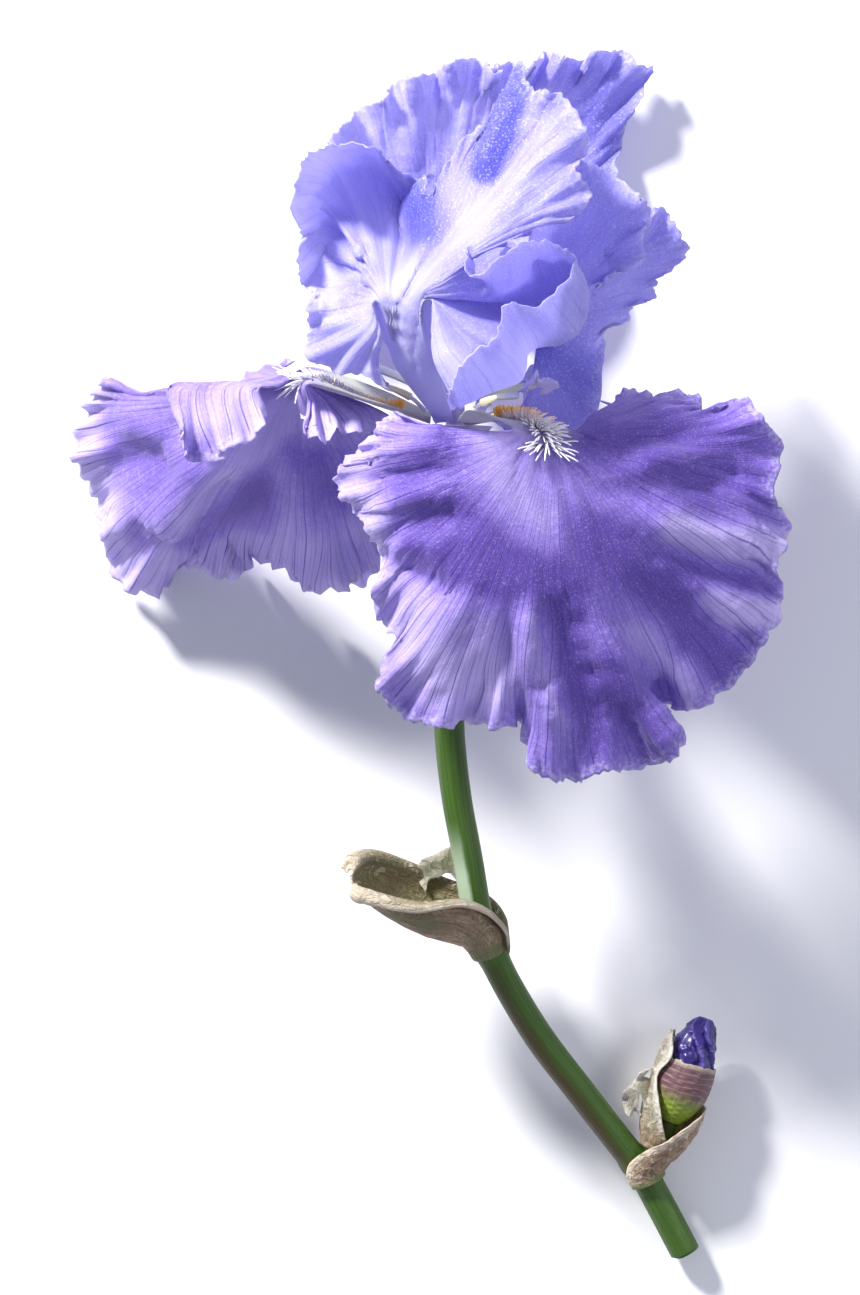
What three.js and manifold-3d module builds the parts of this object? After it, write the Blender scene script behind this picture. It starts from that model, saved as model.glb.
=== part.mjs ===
// A bearded iris cut with its stem and laid on its back: an open bloom, a dried spathe on a bare node and
// a side bud. Millimetres. +Y runs from the cut end to the top of the bloom, +Z is up from the surface.
import * as THREE from "three";
import { mergeVertices } from "three/addons/utils/BufferGeometryUtils.js";
import Module from "manifold-3d";

const manifoldLibrary = await Module();
manifoldLibrary.setup();

// --------------------------------------------------------------------------------------------------------
// Driving dimensions
// --------------------------------------------------------------------------------------------------------
const SHIFT = [0.94, 1.755, 0]; // brings the middle of the whole flower's footprint to the origin
const SURFACE_Z = 0; // height of the surface before that shift
const BLADE = 0.7; // thickness of a petal's blade
const CLAW_EXTRA = 0.9; // how much thicker the petal is at its base
const CLAW_END = 0.35; // share of the petal's length where that extra thickness has faded
const SEAT = 0.3; // gap between pieces that sit on each other
const STEM_RADIUS = 3.35;
const CALM_REACH = 4; // how many ribs to each side even out the waves behind the margin
const WAVE_AT_SHOULDER = 0.25; // share of a margin wave that reaches the shoulder of the blade
const SWELL_AT_SHOULDER = 0.55; // share of the belly's swell that is left there
const BELLY_AT = 0.45; // place of the belly between hub and margin
const BELLY_OF_FOLD = 0.55; // the same on a rib that folds over, between hub and fold
const SHOULDER_AT = 0.8;
const BRACT = 0.6; // thickness of the papery bracts
const THROAT = [5.5, 48.6, 46]; // where the petals leave the perianth tube

// Each petal: the midline of its claw (base, middle, hub), the direction across it, half its width and its
// channel depth at those three places, and the ribs that fan out from the hub to the margin.
// A rib is [x, y, z, swell] at the margin, with a fifth entry where the blade folds over before it.
const PETALS = {
  fall_front: {
    claw: [[8.3, 49.8, 50.9], [14.5, 49.5, 68], [24.5, 45.5, 80]],
    across: [0.87, 0, -0.5],
    half: [2.3, 6, 8],
    channel: [0.6, 2, 1],
    ribs: [
      [-7, 50.5, 76, 4], [-10.5, 49.5, 65, 6], [-12.5, 46.5, 71, 8], [-17, 42.5, 60, 8], [-19.5, 39.5, 68, 8],
      [-21, 36.5, 60, 8], [-19.5, 33, 68, 8], [-16.5, 29.5, 58, 10],
      [-14, 26, 72, 8], [-10.5, 19.5, 58, 10], [-13, 13, 70, 8], [-11, 5.5, 56, 8], [-7, 1.5, 68, 9],
      [-10.5, -4.5, 58, 8], [-11.5, -9, 66, 8], [-6.5, -15, 56, 8], [0.5, -17.5, 66, 8], [8.5, -16.5, 55, 9],
      [15, -18, 66, 8], [20, -17.5, 50, 6], [23, -27.5, 66, 10], [32, -29.5, 54, 6], [38, -27.5, 66, 10],
      [46.5, -26.5, 52, 8], [54.5, -22.5, 68, 10], [51.5, -13.5, 44, 0], [56.5, -14.5, 60, 8],
      [68, -7.5, 50, 8], [73, 0.5, 62, 8], [78, 9, 48, 4], [76, 16.5, 68, 8], [79, 26, 54, 6],
      [75, 33, 68, 8], [77, 43.5, 54, 4], [72.5, 50, 66, 4], [68.5, 55, 52, 2], [61.5, 51, 64, 3],
      [57, 56.5, 54, 2], [50, 53.5, 62, 2], [45, 57, 55, 2], [40.5, 54.5, 62, 1],
    ],
  },
  fall_left: {
    claw: [[-0.1, 50.2, 46], [-12.5, 54, 53], [-27, 58.5, 58]],
    across: [0, -0.3, 0.95],
    half: [2.3, 6, 7],
    channel: [0.6, 1.5, 1],
    ribs: [
      [-29.5, 63, 44, 2], [-36, 62.5, 34, 2], [-42, 59.5, 42, 2], [-35.5, 49, 68, 0, [-37.5, 56, 65]],
      [-39, 44.5, 66, 0, [-41, 56.5, 64]], [-44.5, 43, 71, 2, [-46.5, 57, 61]],
      [-49.5, 41.5, 66, 2, [-51, 57, 58]], [-53, 44, 70, 2, [-54.5, 57, 55]],
      [-54.5, 50.5, 59, 2, [-57, 57, 50]], [-60.5, 56, 30, 10], [-66.5, 54.5, 36, 12],
      [-70.5, 56.5, 24, 14], [-73, 59.5, 34, 14], [-77.5, 55.5, 20, 14], [-80.5, 47, 12, 14],
      [-80.5, 42, 22, 14], [-76, 32.5, 6, 14], [-74.5, 25.5, 18, 14], [-73, 18, 4, 14], [-68.5, 12.5, 14, 14],
      [-62, 12, 4, 14], [-59.5, 17.5, -4, 10], [-54.5, 19.5, 10, 14], [-50, 17, 0, 12], [-45, 20.5, 12, 14],
      [-41, 20, 2, 12], [-34, 18, 16, 14], [-27, 13.5, 6, 12], [-21.5, 15.5, 18, 12], [-15.5, 14.5, 10, 10],
      [-10, 23, 22, 8], [-8.5, 34, 30, 4], [-9, 42, 40, 2], [-11, 47.5, 52, 0], [-14.5, 46.3, 58, 0],
      [-19, 47.3, 62, 2], [-21.3, 45.8, 65, 2], [-24, 43.8, 67, 2], [-27, 46.5, 66, 2], [-28.5, 51.5, 62, 0],
    ],
  },
  fall_back: {
    claw: [[8.3, 49.8, 41.1], [15.5, 51, 25], [26, 48.5, 11]],
    across: [-0.87, 0, -0.5],
    half: [2.3, 6, 7.5],
    channel: [0.6, 1.5, 1],
    ribs: [
      [38.5, 55.5, 20, 0], [50, 55, 10, 0], [61, 51.5, 18, 0], [69.5, 44, 3, 0], [72, 33.5, 12, -1],
      [70.5, 23.5, -1, -1], [66, 13, 6, -2], [62, 1.5, -3, -4], [53.5, -4.5, -2, -5], [46, -10, -4, -5],
      [36.5, -10, -3, -5], [28.5, -8, -4, -5], [20.5, -4.5, -2, -4], [16, 6, -3, -3], [11.5, 15.5, 5, -1],
      [8.5, 27, 0, 1], [11, 38, 12, 1], [16, 45, 12, 0],
    ],
  },
  standard_front: {
    claw: [[3, 50.3, 50.4], [-4.5, 64, 64], [-6, 75, 72]],
    across: [0.87, 0, 0.5],
    half: [2.1, 6, 8],
    channel: [0.5, 1, 0],
    ribs: [
      [-8, 55, 62, 0], [-14.5, 58.5, 64, 0], [-21.5, 60, 60, 0], [-28, 63.5, 64, 2], [-26, 68.5, 60, 2],
      [-27.5, 73, 72, 4], [-26, 77.5, 58, 0],
      [-28.5, 80, 48, -2, [-22, 85, 48]], [-29.5, 85, 60, -2, [-24.5, 90, 46]],
      [-28.5, 90.5, 52, -2, [-22, 94.5, 42]], [-30, 95.5, 64, -4, [-24.5, 98, 46]],
      [-28, 104.5, 58, -4, [-22.5, 103, 40]], [-25.5, 108, 66, -6, [-20, 105.5, 42]],
      [-19.5, 110.5, 58, -6, [-15.5, 106.5, 36]], [-12.5, 109, 62, -6, [-11, 106, 36]],
      [-8.5, 106, 50, -6, [-7.5, 103, 36]], [-2.5, 103.5, 46, -4, [-4, 100.5, 38]], [1.5, 103.5, 46, 0],
      [0, 99, 66, 4], [3.5, 105, 72, 8], [8.5, 112.5, 66, 8], [13.5, 114, 68, 8], [16, 123, 48, 2],
      [20, 128.5, 46, 0], [21.5, 122.5, 66, 6], [25, 120, 80, 8], [29, 119, 76, 8], [33.5, 111.5, 84, 8],
      [34, 106, 74, 8], [31, 103, 84, 8], [35, 98, 80, 8], [31.5, 92, 84, 8], [24, 92.5, 80, 8],
      [20, 84, 90, 6], [16, 88.5, 78, 4], [11, 89.5, 70, 4], [7, 83.5, 88, 6], [9.5, 78.5, 92, 6],
      [16.5, 84, 96, 4, [15, 74.5, 76]], [24.5, 86.5, 90, 2, [28, 77, 66]],
      [31, 82.5, 84, 2, [33.5, 73.5, 62]], [23, 72.5, 96, 2, [29.5, 66, 74]],
      [16, 73, 100, 2, [21, 63.5, 80]], [13, 65, 98, 2, [19.5, 57.5, 80]],
      [8.5, 62.5, 96, 2, [13, 54.5, 84]], [4.5, 56.5, 92, 2, [7, 51.5, 82]], [3.5, 50.5, 80, 0],
    ],
  },
  standard_left: {
    claw: [[3, 50.3, 41.6], [1.5, 68, 26], [0.5, 82, 9]],
    across: [1, 0, 0],
    half: [2.1, 6, 8],
    channel: [0.5, 1, 0],
    ribs: [
      [-8, 72, 16, 0], [-18, 75, 10, -2], [-25.5, 78.5, 18, -2], [-27.5, 86, 2, -4], [-26, 93.5, 16, -4],
      [-28, 102, 0, -5], [-25.5, 108.5, 16, -5], [-23.5, 116, 0, -5], [-20.5, 118.5, 20, -5],
      [-16, 123.5, 0, -5], [-10.5, 124.5, 24, -5], [-8, 129.5, 0, -5], [-3, 130, 24, -5],
      [1.5, 131.5, 0, -5], [4.5, 133, 24, -5], [11, 134.5, 0, -5], [14.5, 130.5, 24, -5],
      [18.5, 134, 0, -5], [24, 131.5, 24, -5], [26.5, 136.5, 0, -5], [30.5, 134, 26, -5], [35, 134, 0, -5],
      [38, 135.5, 24, -5], [44.5, 136.5, 0, -5], [47.5, 133, 18, -5], [51.5, 132.5, 0, -5],
      [47.5, 124, 14, -5], [44, 116, 0, -5], [41.5, 106, 14, -4], [39, 96.5, 1, -4], [33, 85.5, 14, -2],
      [22.5, 76.5, 16, -2], [11.5, 70.5, 22, 0],
    ],
  },
  standard_right: {
    claw: [[10.5, 50.3, 46], [15.5, 61, 46], [22, 71, 44]],
    across: [0.2, -0.2, -0.95],
    half: [2.1, 6, 8],
    channel: [0.5, 1, 0],
    ribs: [
      [10.5, 66, 60, 0], [8.5, 76, 58, 0], [15.5, 87, 56, -2], [22, 99, 44, -2], [27, 105.5, 40, -2],
      [30.5, 109, 44, 2], [33.5, 107, 56, 4], [40, 104.5, 52, 4], [46, 99, 60, 6], [48.5, 95.5, 52, 6],
      [47.5, 88.5, 62, 4], [45.5, 84.5, 52, 4], [39, 81.5, 62, 4], [36, 79, 54, 2], [41.5, 81.5, 44, 0],
      [47, 88.5, 34, 0], [49, 96, 40, 0], [52, 98.5, 30, 0], [57, 91.5, 36, 2], [58, 88, 24, 2],
      [51, 81.5, 36, 0], [50.5, 78.5, 26, 2], [46.5, 77, 36, 0], [44, 72.5, 26, 2], [39.5, 72.5, 36, 0],
      [39, 66.5, 28, 0], [39.5, 55, 34, 0], [29.5, 53.5, 29, 0], [18.5, 54, 36, 0],
    ],
  },
};

// The petal-like arms of the style arch over the three falls, each ending in a split crest.
const STYLE_ARMS = {
  style_arm_front: {
    claw: [[6.95, 55, 48.5], [13, 57, 58], [20, 58, 66]],
    across: [0.87, 0, -0.5],
    half: [1, 3, 4],
    channel: [-0.3, -1.2, -1.2],
    ribs: [
      [19, 55, 71, 0], [23, 58, 73, 0], [26, 63, 72, 1], [25.5, 59, 68.5, 0], [29.5, 62, 66, 1],
      [28, 57, 63.5, 0], [24, 55, 61, 0],
    ],
  },
  style_arm_left: {
    claw: [[2.6, 55, 46], [-6, 59.8, 49.5], [-14.5, 63.2, 52]],
    across: [0, -0.2, 0.98],
    half: [1, 3, 4],
    channel: [-0.3, -0.8, -0.5],
    ribs: [
      [-13.5, 61.6, 46.5, 0], [-18.5, 64, 46, 0], [-22, 69, 47, 1], [-20, 65.4, 51, 0], [-23, 68, 54.5, 1],
      [-20, 65, 56.5, 0], [-15, 63, 56.5, 0],
    ],
  },
  style_arm_back: {
    claw: [[6.95, 55, 43.5], [12, 56.5, 33.5], [16.5, 57.5, 24.5]],
    across: [-0.87, 0, -0.5],
    half: [1, 3, 4],
    channel: [-0.3, -1.2, -1.2],
    ribs: [
      [21, 55, 25.5, 0], [23, 58, 21, 0], [23.5, 64, 18, 1], [20, 59.5, 18.5, 0], [18, 64, 15.5, 1],
      [16, 58.5, 17, 0], [12.5, 55.5, 20.5, 0],
    ],
  },
};

const FILAMENT_RADIUS = 0.55;
const ANTHER_RADIUS = 0.95;
const ANTHER_START = 0.5; // share of the stamen's length
const ANTHER_BLUNTNESS = 0.4;
// The stamen under each style arm: its start, the end of its filament and the end of its anther.
const STAMENS = {
  stamen_front: [[8.9, 51.8, 52.8], [11.6, 53.6, 58.2], [14.6, 54.4, 64.2]],
  stamen_left: [[-1, 52.2, 46.8], [-4.4, 55.2, 48.8], [-10.4, 57.9, 51]],
  stamen_back: [[8.9, 51.9, 39.2], [11, 53.6, 35], [13.6, 54.4, 29]],
};

// The centre line of the flowering stem, from under the ovary to the cut end.
const STEM_LINE = [
  [4, 0.5, 46], [4, -4, 45.8], [4.1, -12, 43], [4.5, -21.5, 39], [6, -34, 36], [8.5, -47.5, 33],
  [10.5, -59, 30], [13, -66.5, 28], [17.5, -76, 25], [25, -88.5, 19], [34, -100.5, 14], [42, -111, 10],
  [48, -119, 7], [53, -128, 5], [58.5, -138.5, 3.6],
];
// Where along the stem it swells into a node. Places and spread are shares of its length.
const STEM_NODES = { places: [0.46, 0.845], spread: 0.012, swell: 0.4 };
const BUD_STALK = {
  line: [[48, -119, 7], [51, -115, 8], [53.6, -110, 9], [55.2, -106, 9.5]],
  radius: 2.4,
  narrowing: 0.5,
};

// The ovary, the perianth tube and the column of the style: height along Y and radius.
const OVARY_PROFILE = [
  [STEM_LINE[0][1] + SEAT, 3.2], [5, 4.4], [12, 5.2], [19, 4.9], [25, 3.7], [32, 3.1], [39, 3.6], [44.5, 5.4],
  [THROAT[1] - 0.4, 7.9], [THROAT[1] + 0.2, 7.9], [THROAT[1] + 0.3, 2.4], [THROAT[1] + 4, 2.2],
  [THROAT[1] + 7.6, 1.9],
];
const OVARY_RIBS = { count: 6, depth: 0.06, middle: 13, reach: 14 };

// Sheathing bracts: centre, direction of the opening, radius and half angle of the wrap, base first.
const BRACTS = {
  spathe_outer: {
    rows: 10,
    columns: 11,
    stations: [
      { at: [13.6, -68.2, 27.5], open: [0.9, 0.3, 0.1], radius: 4.2, wrap: 150 },
      { at: [11.2, -63, 29.2], open: [0.8, 0.5, 0.1], radius: 5.6, wrap: 128 },
      { at: [5, -59.5, 31.5], open: [0.5, 0.8, 0.4], radius: 7.6, wrap: 98 },
      { at: [-3, -56, 34], open: [0.4, 0.75, 0.6], radius: 8, wrap: 92 },
      { at: [-10.5, -52.5, 36.5], open: [0.4, 0.7, 0.7], radius: 6.2, wrap: 88 },
      { at: [-16, -49.5, 38.5], open: [0.4, 0.7, 0.7], radius: 2.4, wrap: 70 },
    ],
  },
  bud_lower_bract: {
    rows: 8,
    columns: 12,
    stations: [
      { at: [49.6, -121.6, 6.7], open: [-0.87, -0.5, 0], radius: 4.3, wrap: 150 },
      { at: [48.4, -118.6, 7.4], open: [-0.9, 0, 0], radius: 4.8, wrap: 138 },
      { at: [50, -114.5, 8.4], open: [-0.85, 0.4, 0], radius: 5.8, wrap: 106 },
      { at: [52.2, -111.2, 9.1], open: [-0.6, 0.5, 0.4], radius: 6.6, wrap: 102 },
      { at: [54, -108, 9.7], open: [-0.5, 0.4, 0.7], radius: 7.4, wrap: 104 },
      { at: [55.2, -105.6, 10], open: [-0.5, 0.3, 0.8], radius: 7.7, wrap: 84 },
    ],
  },
  bud_inner_bract: {
    rows: 7,
    columns: 12,
    stations: [
      { at: [54.6, -107.5, 9.4], open: [0, 0, -1], radius: 2.6, wrap: 165 },
      { at: [55.8, -104.5, 9.8], open: [0, 0, -1], radius: 4.6, wrap: 165 },
      { at: [56.9, -101.5, 10.1], open: [0, 0, -1], radius: 5.9, wrap: 165 },
      { at: [58.1, -98, 10.3], open: [0, 0, -1], radius: 6.2, wrap: 165 },
      { at: [59.3, -94.2, 10.4], open: [0, 0, -1], radius: 6, wrap: 158 },
    ],
  },
  bud_outer_bract: {
    rows: 8,
    columns: 7,
    stations: [
      { at: [53.8, -108.5, 9.4], open: [0.9, -0.1, -0.1], radius: 4.1, wrap: 74 },
      { at: [55.8, -103.5, 10], open: [0.9, -0.2, -0.25], radius: 6.8, wrap: 76 },
      { at: [57.4, -99, 10.4], open: [0.9, -0.2, -0.3], radius: 7.2, wrap: 74 },
      { at: [59.2, -93.5, 10.6], open: [0.9, -0.2, -0.3], radius: 7.1, wrap: 60 },
      { at: [60.8, -88.8, 10.6], open: [0.9, -0.2, -0.3], radius: 6.2, wrap: 26 },
    ],
  },
};

// A papery valve that has come away behind the stem, a small blade of its own.
const SPATHE_INNER = {
  claw: [[9.3, -55.7, 25.2], [7.6, -53.5, 24.9], [5.6, -51.4, 24.6]],
  across: [0.8, -0.6, 0],
  half: [1.5, 2.4, 3],
  channel: [0, 0, 0],
  ribs: [
    [0, -53.5, 25, 0], [-1.5, -50, 23.5, 0], [0, -47, 25, 0.5], [2.5, -46.5, 23.5, 0.5],
    [5.5, -45, 25, 0], [8.5, -48, 24, 0], [9.5, -52.5, 24.5, 0],
  ],
};

// The furled petals that show at the tip of the side bud.
const FURLED = {
  base: [56.4, -103, 10],
  tip: [62.8, -84.4, 10.6],
  radius: 5.2,
  folds: 3,
  foldDepth: 0.16,
  twist: 2.6,
  neck: 0.55, // share of the radius at the base
  fullAt: 0.45, // share of the length where it is widest
  narrowing: 0.46, // towards the tip
};

// The strip of hairs along the midline of a fall's claw. Start and end are shares of the petal's length.
const BEARD = {
  start: 0.21,
  end: 0.4,
  width: 0.3, // share of the claw's half width
  rim: 0.6, // thickness of the crown at its edge
  crown: 1.1, // how far its middle rises above that
  bluntness: 0.5,
  seat: 0.55, // above the claw, which is built of flat facets
  hairs: 26,
  hairLength: 3.3,
  hairRadius: 0.42,
  root: 0.6, // how deep a hair stands in the crown
  spread: 0.6, // share of the crown's width that carries hairs
  inset: 0.06, // share of its length that stays bare at each end
  lean: 0.25, // how far the first hairs lean towards the tip
};

// --------------------------------------------------------------------------------------------------------
// Surfaces and solids
// --------------------------------------------------------------------------------------------------------
const vector = (p) => new THREE.Vector3(p[0], p[1], p[2]);
const smoothLine = (points) => new THREE.CatmullRomCurve3(points.map(vector), false, "catmullrom", 0.5);
const mix = (a, b, share) => [0, 1, 2].map((i) => a[i] + (b[i] - a[i]) * share);
const range = (count) => Array.from({ length: count }, (_, i) => i);
const steps = (count, from, to) => range(count + 1).map((i) => from + ((to - from) * i) / count);

// A repeatable draw between 0 and 1.
function seededDraw(seed) {
  let state = seed;
  return () => {
    state = (state * 1664525 + 1013904223) % 4294967296;
    return state / 4294967296;
  };
}

// The margin's heights with its waves evened out, so that waves stay near the margin.
function calmHeights(ribs) {
  return ribs.map((rib, i) => {
    if (rib[4]) return rib[2];
    let sum = 0;
    let weights = 0;
    for (let step = -CALM_REACH; step <= CALM_REACH; step++) {
      const near = ribs[Math.min(ribs.length - 1, Math.max(0, i + step))];
      const weight = CALM_REACH + 1 - Math.abs(step);
      sum += near[2] * weight;
      weights += weight;
    }
    return sum / weights;
  });
}

// The surface of a petal: s runs from its base to its margin, t from one side to the other.
function petalSurface(petal) {
  const hub = petal.claw[2];
  const calm = calmHeights(petal.ribs);
  const belly = petal.ribs.map((rib, i) => {
    const [x, y, , , fold] = rib;
    const point = fold ? mix(hub, fold, BELLY_OF_FOLD) : mix(hub, [x, y, calm[i]], BELLY_AT);
    return [point[0], point[1], point[2] + rib[3]];
  });
  const shoulder = petal.ribs.map((rib, i) => {
    if (rib[4]) return rib[4];
    const point = mix(hub, [rib[0], rib[1], calm[i]], SHOULDER_AT);
    const rise = rib[3] * SWELL_AT_SHOULDER + (rib[2] - calm[i]) * WAVE_AT_SHOULDER;
    return [point[0], point[1], point[2] + rise];
  });
  const rows = [belly, shoulder, petal.ribs].map(smoothLine);
  const claw = petal.claw.map(vector);
  const across = vector(petal.across).normalize();
  const up = [[0, 1], [0, 2], [1, 2]].map(([a, b]) =>
    new THREE.Vector3().subVectors(claw[b], claw[a]).cross(across).normalize());
  const ribs = new Map();
  return (s, t) => {
    if (!ribs.has(t)) {
      const low = claw.map((point, i) => point.clone()
        .addScaledVector(across, petal.half[i] * t)
        .addScaledVector(up[i], petal.channel[i] * t * t));
      const high = rows.map((row) => row.getPoint((t + 1) / 2));
      ribs.set(t, new THREE.CatmullRomCurve3([...low, ...high], false, "centripetal"));
    }
    return ribs.get(t).getPoint(s);
  };
}

// The surface of a bract that wraps an axis: s runs along the axis, t round it.
function sheathSurface(stations) {
  const axis = smoothLine(stations.map((station) => station.at));
  const opening = smoothLine(stations.map((station) => station.open));
  const shape = smoothLine(stations.map((station) => [station.radius, station.wrap, 0]));
  return (s, t) => {
    const along = axis.getTangent(s);
    const open = opening.getPoint(s);
    open.addScaledVector(along, -open.dot(along)).normalize();
    const side = new THREE.Vector3().crossVectors(along, open);
    const { x: radius, y: wrap } = shape.getPoint(s);
    const angle = THREE.MathUtils.degToRad(wrap) * t;
    return axis.getPoint(s)
      .addScaledVector(open, -radius * Math.cos(angle))
      .addScaledVector(side, radius * Math.sin(angle));
  };
}

// The unit normal of a surface at (s, t).
function normalAt(surface, s, t) {
  const d = 1e-3;
  const s0 = Math.max(0, s - d);
  const s1 = Math.min(1, s + d);
  const t0 = Math.max(-1, t - d);
  const t1 = Math.min(1, t + d);
  const along = surface(s1, t).sub(surface(s0, t));
  const around = surface(s, t1).sub(surface(s, t0));
  return along.cross(around).normalize();
}

function geometryFrom(points, triangles) {
  const geometry = new THREE.BufferGeometry();
  const numbers = points.flatMap((p) => [p.x, p.y, p.z]);
  geometry.setAttribute("position", new THREE.Float32BufferAttribute(numbers, 3));
  geometry.setIndex(triangles);
  return geometry;
}

// A closed solid between two grids of points, split into triangles alike on both faces.
function gridSolid(upper, lower) {
  const rows = upper.length;
  const columns = upper[0].length;
  const at = (side, i, j) => side * rows * columns + i * columns + j;
  const triangles = [];
  for (let i = 0; i < rows - 1; i++) {
    for (let j = 0; j < columns - 1; j++) {
      triangles.push(at(0, i, j), at(0, i + 1, j), at(0, i + 1, j + 1));
      triangles.push(at(0, i, j), at(0, i + 1, j + 1), at(0, i, j + 1));
      triangles.push(at(1, i, j), at(1, i + 1, j + 1), at(1, i + 1, j));
      triangles.push(at(1, i, j), at(1, i, j + 1), at(1, i + 1, j + 1));
    }
  }
  const rim = [
    ...range(columns).map((j) => [0, j]),
    ...range(rows - 1).map((i) => [i + 1, columns - 1]),
    ...range(columns - 1).map((j) => [rows - 1, columns - 2 - j]),
    ...range(rows - 2).map((i) => [rows - 2 - i, 0]),
  ];
  rim.forEach(([i, j], k) => {
    const [ni, nj] = rim[(k + 1) % rim.length];
    triangles.push(at(0, i, j), at(0, ni, nj), at(1, ni, nj));
    triangles.push(at(0, i, j), at(1, ni, nj), at(1, i, j));
  });
  return geometryFrom([...upper.flat(), ...lower.flat()], triangles);
}

// A thin blade along a surface. Where it would sink into the resting surface it lies flat on it.
function bladeSolid(surface, along, around, thicknessAt) {
  const upper = [];
  const lower = [];
  for (const s of along) {
    const half = thicknessAt(s) / 2;
    const faces = around.map((t) => {
      const middle = surface(s, t);
      const pressed = middle.z < SURFACE_Z + half;
      if (pressed) middle.z = SURFACE_Z + half;
      const normal = pressed ? new THREE.Vector3(0, 0, 1) : normalAt(surface, s, t);
      const facesUp = pressed && normalAt(surface, s, t).z < 0;
      if (facesUp) normal.negate();
      return [middle.clone().addScaledVector(normal, half), middle.addScaledVector(normal, -half)];
    });
    for (const pair of faces) for (const point of pair) point.z = Math.max(point.z, SURFACE_Z);
    upper.push(faces.map((pair) => pair[0]));
    lower.push(faces.map((pair) => pair[1]));
  }
  return gridSolid(upper, lower);
}

// A closed solid through rings of points, each end closed by a fan.
function loftSolid(rings) {
  const sides = rings[0].length;
  const points = rings.flat();
  const triangles = [];
  rings.slice(1).forEach((_, i) => {
    for (let j = 0; j < sides; j++) {
      const a = i * sides + j;
      const b = i * sides + ((j + 1) % sides);
      triangles.push(a, b, b + sides, a, b + sides, a + sides);
    }
  });
  const centre = (ring) => ring.reduce((sum, p) => sum.add(p), new THREE.Vector3()).divideScalar(sides);
  const first = points.push(centre(rings[0])) - 1;
  const last = points.push(centre(rings.at(-1))) - 1;
  const top = (rings.length - 1) * sides;
  for (let j = 0; j < sides; j++) {
    const next = (j + 1) % sides;
    triangles.push(first, next, j, last, top + j, top + next);
  }
  return geometryFrom(points, triangles);
}

// Rings round a curve. radiusAt(u, angle) gives the section at the share u of its length.
function ringsAlong(curve, count, sides, radiusAt) {
  const frames = curve.computeFrenetFrames(count, false);
  return steps(count, 0, 1).map((u, i) => {
    const centre = curve.getPointAt(u);
    return range(sides).map((j) => {
      const angle = (2 * Math.PI * j) / sides;
      const radius = radiusAt(u, angle);
      return centre.clone()
        .addScaledVector(frames.normals[i], radius * Math.cos(angle))
        .addScaledVector(frames.binormals[i], radius * Math.sin(angle));
    });
  });
}

function toManifold(geometry) {
  const bare = geometry.clone();
  bare.deleteAttribute("normal");
  bare.deleteAttribute("uv");
  const welded = mergeVertices(bare, 1e-4);
  return new manifoldLibrary.Manifold(new manifoldLibrary.Mesh({
    numProp: 3,
    vertProperties: welded.attributes.position.array,
    triVerts: new Uint32Array(welded.index.array),
  }));
}

// Grows several solids together into one.
function joined(geometries) {
  const mesh = geometries.map(toManifold).reduce((sum, next) => sum.add(next)).getMesh();
  const geometry = new THREE.BufferGeometry();
  geometry.setAttribute("position", new THREE.BufferAttribute(mesh.vertProperties, mesh.numProp));
  geometry.setIndex(new THREE.BufferAttribute(mesh.triVerts, 1));
  return geometry;
}

// --------------------------------------------------------------------------------------------------------
// The pieces
// --------------------------------------------------------------------------------------------------------
const thicknessOfPetal = (s) => BLADE + CLAW_EXTRA * Math.max(0, 1 - s / CLAW_END) ** 2;
const PETAL_ROWS = [0, 0.2, 0.4, 0.55, 0.7, 0.85, 1];

function petalGeometry(petal) {
  const columns = 2 * (petal.ribs.length - 1);
  return bladeSolid(petalSurface(petal), PETAL_ROWS, steps(columns, -1, 1), thicknessOfPetal);
}

// A small blade of even thickness: a style arm or a loose valve of the spathe.
function smallBladeGeometry(blade, columnsPerRib, thickness) {
  const columns = columnsPerRib * (blade.ribs.length - 1);
  return bladeSolid(petalSurface(blade), steps(5, 0, 1), steps(columns, -1, 1), () => thickness);
}

// The beard sits on the upper face of the claw: a low crown with hairs standing out of it towards the tip.
function beardGeometry(petal, seed) {
  const surface = petalSurface(petal);
  const onClaw = (s, t, rise) => surface(s, t)
    .addScaledVector(normalAt(surface, s, t), thicknessOfPetal(s) / 2 + rise);
  const along = steps(6, BEARD.start, BEARD.end);
  const around = steps(4, -BEARD.width, BEARD.width);
  const crownAt = (s, t) => {
    const lengthwise = Math.sin((Math.PI * (s - BEARD.start)) / (BEARD.end - BEARD.start));
    const crosswise = 1 - (t / BEARD.width) ** 2;
    return BEARD.seat + BEARD.rim + BEARD.crown * lengthwise ** BEARD.bluntness * crosswise;
  };
  const crown = gridSolid(
    along.map((s) => around.map((t) => onClaw(s, t, crownAt(s, t)))),
    along.map((s) => around.map((t) => onClaw(s, t, BEARD.seat))),
  );
  const draw = seededDraw(seed);
  const hairs = range(BEARD.hairs).map((i) => {
    const share = (i + draw()) / BEARD.hairs;
    const place = BEARD.inset + (1 - 2 * BEARD.inset) * share;
    const s = BEARD.start + (BEARD.end - BEARD.start) * place;
    const t = BEARD.width * (2 * draw() - 1) * BEARD.spread;
    const root = onClaw(s, t, crownAt(s, t));
    const upward = normalAt(surface, s, t);
    const tipward = surface(s + 0.05, t).sub(surface(s, t)).normalize();
    const sideways = surface(s, t + 0.05).sub(surface(s, t)).normalize();
    const lean = upward
      .addScaledVector(tipward, BEARD.lean + share)
      .addScaledVector(sideways, t * 2 + draw() - 0.5)
      .normalize();
    const length = BEARD.hairLength * (0.6 + 0.4 * share + 0.2 * draw());
    const hair = new THREE.ConeGeometry(BEARD.hairRadius, length + BEARD.root, 3);
    hair.translate(0, (length - BEARD.root) / 2, 0);
    hair.applyQuaternion(new THREE.Quaternion().setFromUnitVectors(new THREE.Vector3(0, 1, 0), lean));
    return hair.translate(root.x, root.y, root.z);
  });
  return joined([crown, ...hairs]);
}

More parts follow.
